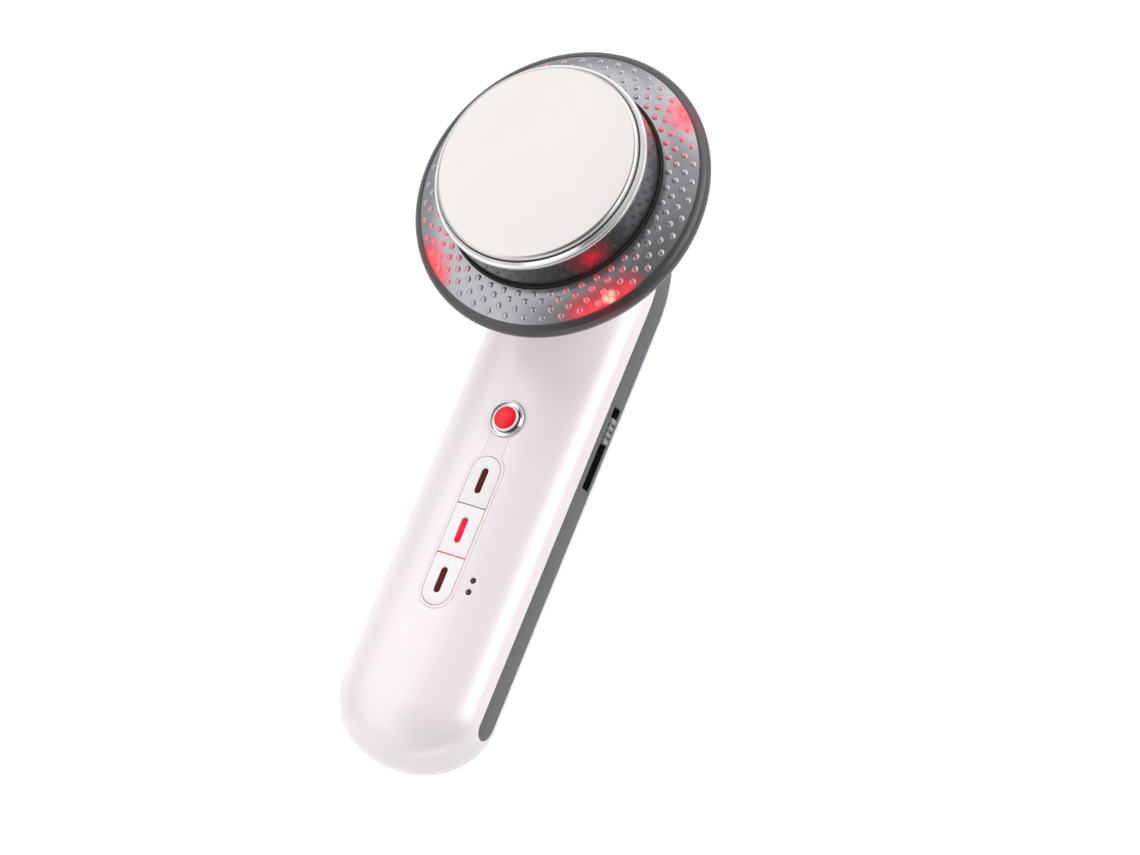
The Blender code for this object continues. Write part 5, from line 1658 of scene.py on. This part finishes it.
@dataclass
class Inside:
    """Finishes of the pieces inside the casing and of the small parts seen from the back."""

    looks: dict[str, Material] = field(default_factory=dict)

    def __post_init__(self) -> None:
        """Makes one material per slot of the record."""
        tracks = {"Scale": 625.0, "Mortar Size": 0.06, "Brick Width": 3.0, "Row Height": 0.6}
        turns = {"Scale": 600.0, "Distortion": 0.3}
        finishes = {
            "black_plastic": Finish("black_moulded", srgb(28, 28, 30), 0.45, 0.0, 0.1, 0.15, 200.0),
            "dark_plastic": Finish("dark_moulded", srgb(62, 62, 64), 0.5, 0.0, 0.1, 0.1, 200.0),
            "plunger_ivory": Finish("ivory_moulded", srgb(222, 214, 196), 0.5),
            "ceramic": Finish("fired_ceramic", srgb(206, 196, 178), 0.6, 0.0, 0.1, 0.08, 400.0, 0.00003),
            "circuit_board": PatternFinish("board_lacquer", Texture.TRACKS, tracks, (0.02, 0.14, 0.05),
                                           (0.05, 0.26, 0.10), 0.00003, 0.4),
            "lamp_pale": Finish("pale_lamp", srgb(240, 150, 150), 0.3, 0.3),
            "coil": PatternFinish("wound_copper", Texture.WINDING, turns, (0.14, 0.06, 0.02), (0.42, 0.20, 0.06),
                                  0.0001, 0.3),
            "capacitor_sleeve": Finish("printed_sleeve", srgb(38, 42, 92), 0.3, 0.4, 0.1, 0.2, 150.0),
            "switch_metal": MetalFinish("blackened_metal", srgb(72, 72, 75), 0.45),
            "screw_steel": MetalFinish("plated_screw", srgb(188, 188, 190), 0.28, line_scale=1800.0),
            "wire_red": Finish("red_wire", srgb(196, 24, 24), 0.45),
            "wire_black": Finish("black_wire", srgb(26, 26, 26), 0.45),
            "wire_grey": Finish("grey_wire", srgb(160, 160, 160), 0.45),
        }
        self.looks = {slot: finish.material() for slot, finish in finishes.items()}

    def build(self) -> None:
        """Gives every CAD node that stays its finish."""
        slots = {entry["node"]: entry["material_slot"] for entry in frame["record"]["subparts"]}
        for name, obj in frame["nodes"].items():
            look = self.looks.get(slots.get(name))
            if slots.get(name) == "lamp_red":
                look = LampFinish(name + "_light", srgb(230, 30, 20), (1.0, 0.08, 0.04), 2.0, middle_of(name),
                                  0.002).material()
            if look is not None and obj.type == "MESH":
                dress(obj, look)
                LOG.info("%s: finish %s", name, look.name)


@dataclass(frozen=True)
class SoftBox:
    """A soft rectangular lamp that looks at the object, with the direction that its height follows."""

    name: str
    place: Point
    width: float
    height: float
    power: float
    along: Point = (0, 1, 0)


@dataclass
class Studio:
    """Camera, lamps, pale floor and white surroundings."""

    position: Point = (0.518213, -0.209492, 0.921778)
    azimuth: float = -22.706
    elevation: float = 58.784
    roll: float = -48.053
    lens: float = 142.105
    aim: Point = (0, 0.01, 0.02)
    dark_sides: tuple[tuple[Point, float, float], ...] = (((0.40, -0.16, 0.902), 0.74, 0.90),
                                                          ((0.64, -0.54, 0.55), 0.78, 0.92))
    dark_light: float = 0.15
    side_light: float = 0.68
    horizon_low: float = 0.02
    horizon_high: float = 0.18
    floor_size: float = 8.0
    floor_drop: float = 0.0004
    floor_light: float = 0.82
    floor_seen: float = 0.30
    floor_plain: float = 0.8
    boxes: tuple[SoftBox, ...] = (
        SoftBox("left_box", (-0.70, 0.20, 0.90), 0.80, 2.3, 6.5, (0.12, 1, 0)),
        SoftBox("right_box", (0.98, 0.46, 0.58), 0.66, 1.2, 7.4),
        SoftBox("lower_left_box", (-0.75, -1.05, 0.45), 1.6, 0.9, 3.2),
        SoftBox("lower_right_box", (0.42, -1.25, 0.16), 1.2, 0.5, 2.6, (0, 0, 1)),
        SoftBox("upper_box", (0.30, 1.25, 0.50), 1.4, 0.8, 5.5))

    def stand(self, data: bpy.types.ID, place: Point, right: Vector, back: Vector) -> Piece:
        """Adds a camera or lamp.

        Args:
            data: Its data, which also names it.
            place: Its place.
            right: The direction to its right.
            back: The direction behind it.

        Returns:
            The camera or lamp.
        """
        obj = bpy.data.objects.new(data.name, data)
        bpy.context.scene.collection.objects.link(obj)
        turn = Matrix((right, back.cross(right), back)).transposed().to_4x4()
        obj.matrix_world = Matrix.Translation(place) @ turn
        return obj

    def camera(self) -> None:
        """Places the camera as the photograph's was."""
        data = bpy.data.cameras.new("photo_camera")
        data.sensor_fit = "HORIZONTAL"
        data.sensor_width = 36.0
        data.lens = self.lens
        data.clip_start = 0.05
        data.clip_end = 20.0
        azimuth, elevation, roll = (math.radians(v) for v in (self.azimuth, self.elevation, self.roll))
        back = Vector((math.cos(elevation) * math.cos(azimuth), math.cos(elevation) * math.sin(azimuth),
                       math.sin(elevation)))
        level = Vector((0, 0, 1)).cross(back).normalized()
        right = level * math.cos(roll) + back.cross(level) * math.sin(roll)
        bpy.context.scene.camera = self.stand(data, self.position, right, back)

    def lamps(self) -> None:
        """Adds the soft boxes."""
        for lamp in self.boxes:
            data = bpy.data.lights.new(lamp.name, "AREA")
            data.shape = "RECTANGLE"
            data.size, data.size_y = lamp.width, lamp.height
            data.energy = lamp.power
            back = (Vector(lamp.place) - Vector(self.aim)).normalized()
            self.stand(data, lamp.place, Vector(lamp.along).cross(back).normalized(), back)

    def surroundings(self) -> None:
        """Makes a white backdrop for camera, mirrored and clear rays, and a room with a dark ceiling for the rest."""
        sheet = NodeSheet("white_room", Sheet.WORLD)
        lights = []
        for side, near, far in self.dark_sides:
            towards = sheet.node("VectorMath", {1: side}, {0: sheet.coords}, operation="DOT_PRODUCT").outputs["Value"]
            lights.append(sheet.span(towards, near, far, self.side_light, self.dark_light))
        room = sheet.node("Background", {"Strength": 1.0}, {"Color": sheet.math("MINIMUM", *lights)})
        white = sheet.node("Background", {"Color": (1, 1, 1, 1)})
        height = sheet.node("SeparateXYZ", None, {0: sheet.coords}).outputs["Z"]
        low = sheet.span(height, self.horizon_low, self.horizon_high, 1.0, 0.0)
        rays = sheet.node("LightPath").outputs
        clear = sheet.math("MAXIMUM", rays["Is Camera Ray"], rays["Is Transmission Ray"])
        factor = sheet.math("MAXIMUM", clear, sheet.math("MULTIPLY", rays["Is Glossy Ray"], low))
        shades = {0: factor, 1: room.outputs[0], 2: white.outputs[0]}
        bpy.context.scene.world = sheet.surface(sheet.node("MixShader", None, shades))

    def floor(self) -> None:
        """Makes the pale floor, which keeps a soft shadow."""
        pick_nothing()
        bpy.ops.mesh.primitive_plane_add(size=self.floor_size, location=(0, 0, -self.floor_drop))
        obj = settle(named("pale_floor"))
        sheet = NodeSheet("floor_white")
        matt, plain = (sheet.node("BsdfDiffuse", {"Color": (grey, grey, grey, 1.0)})
                       for grey in (self.floor_seen, self.floor_plain))
        shine = sheet.node("Emission", {"Color": (1, 1, 1, 1), "Strength": self.floor_light})
        seen = sheet.node("AddShader", None, {0: matt.outputs[0], 1: shine.outputs[0]})
        rays = sheet.node("LightPath").outputs
        factor = sheet.math("MAXIMUM", rays["Is Camera Ray"], rays["Is Transmission Ray"])
        factor = sheet.math("MAXIMUM", factor, rays["Is Glossy Ray"])
        shades = {0: factor, 1: plain.outputs[0], 2: seen.outputs[0]}
        dress(obj, sheet.surface(sheet.node("MixShader", None, shades)))


def main() -> None:
    """Builds the studio and every sub-assembly in order."""
    logging.basicConfig(level=logging.INFO, format="%(name)s: %(message)s")
    studio = Studio()
    studio.camera()
    shape, layout = HandleShape(), ControlLayout()
    pearl = PearlFinish("pearl_lacquer", srgb(240, 231, 234)).material()
    for group in (Casing(shape, layout, pearl), TreatmentHead(shape, pearl), Controls(shape, layout),
                  SlideSwitch(shape), Inside()):
        group.build()
    studio.lamps()
    studio.surroundings()
    studio.floor()
    bpy.context.scene.view_settings.view_transform = "Standard"


if __name__ == "__main__":
    main()
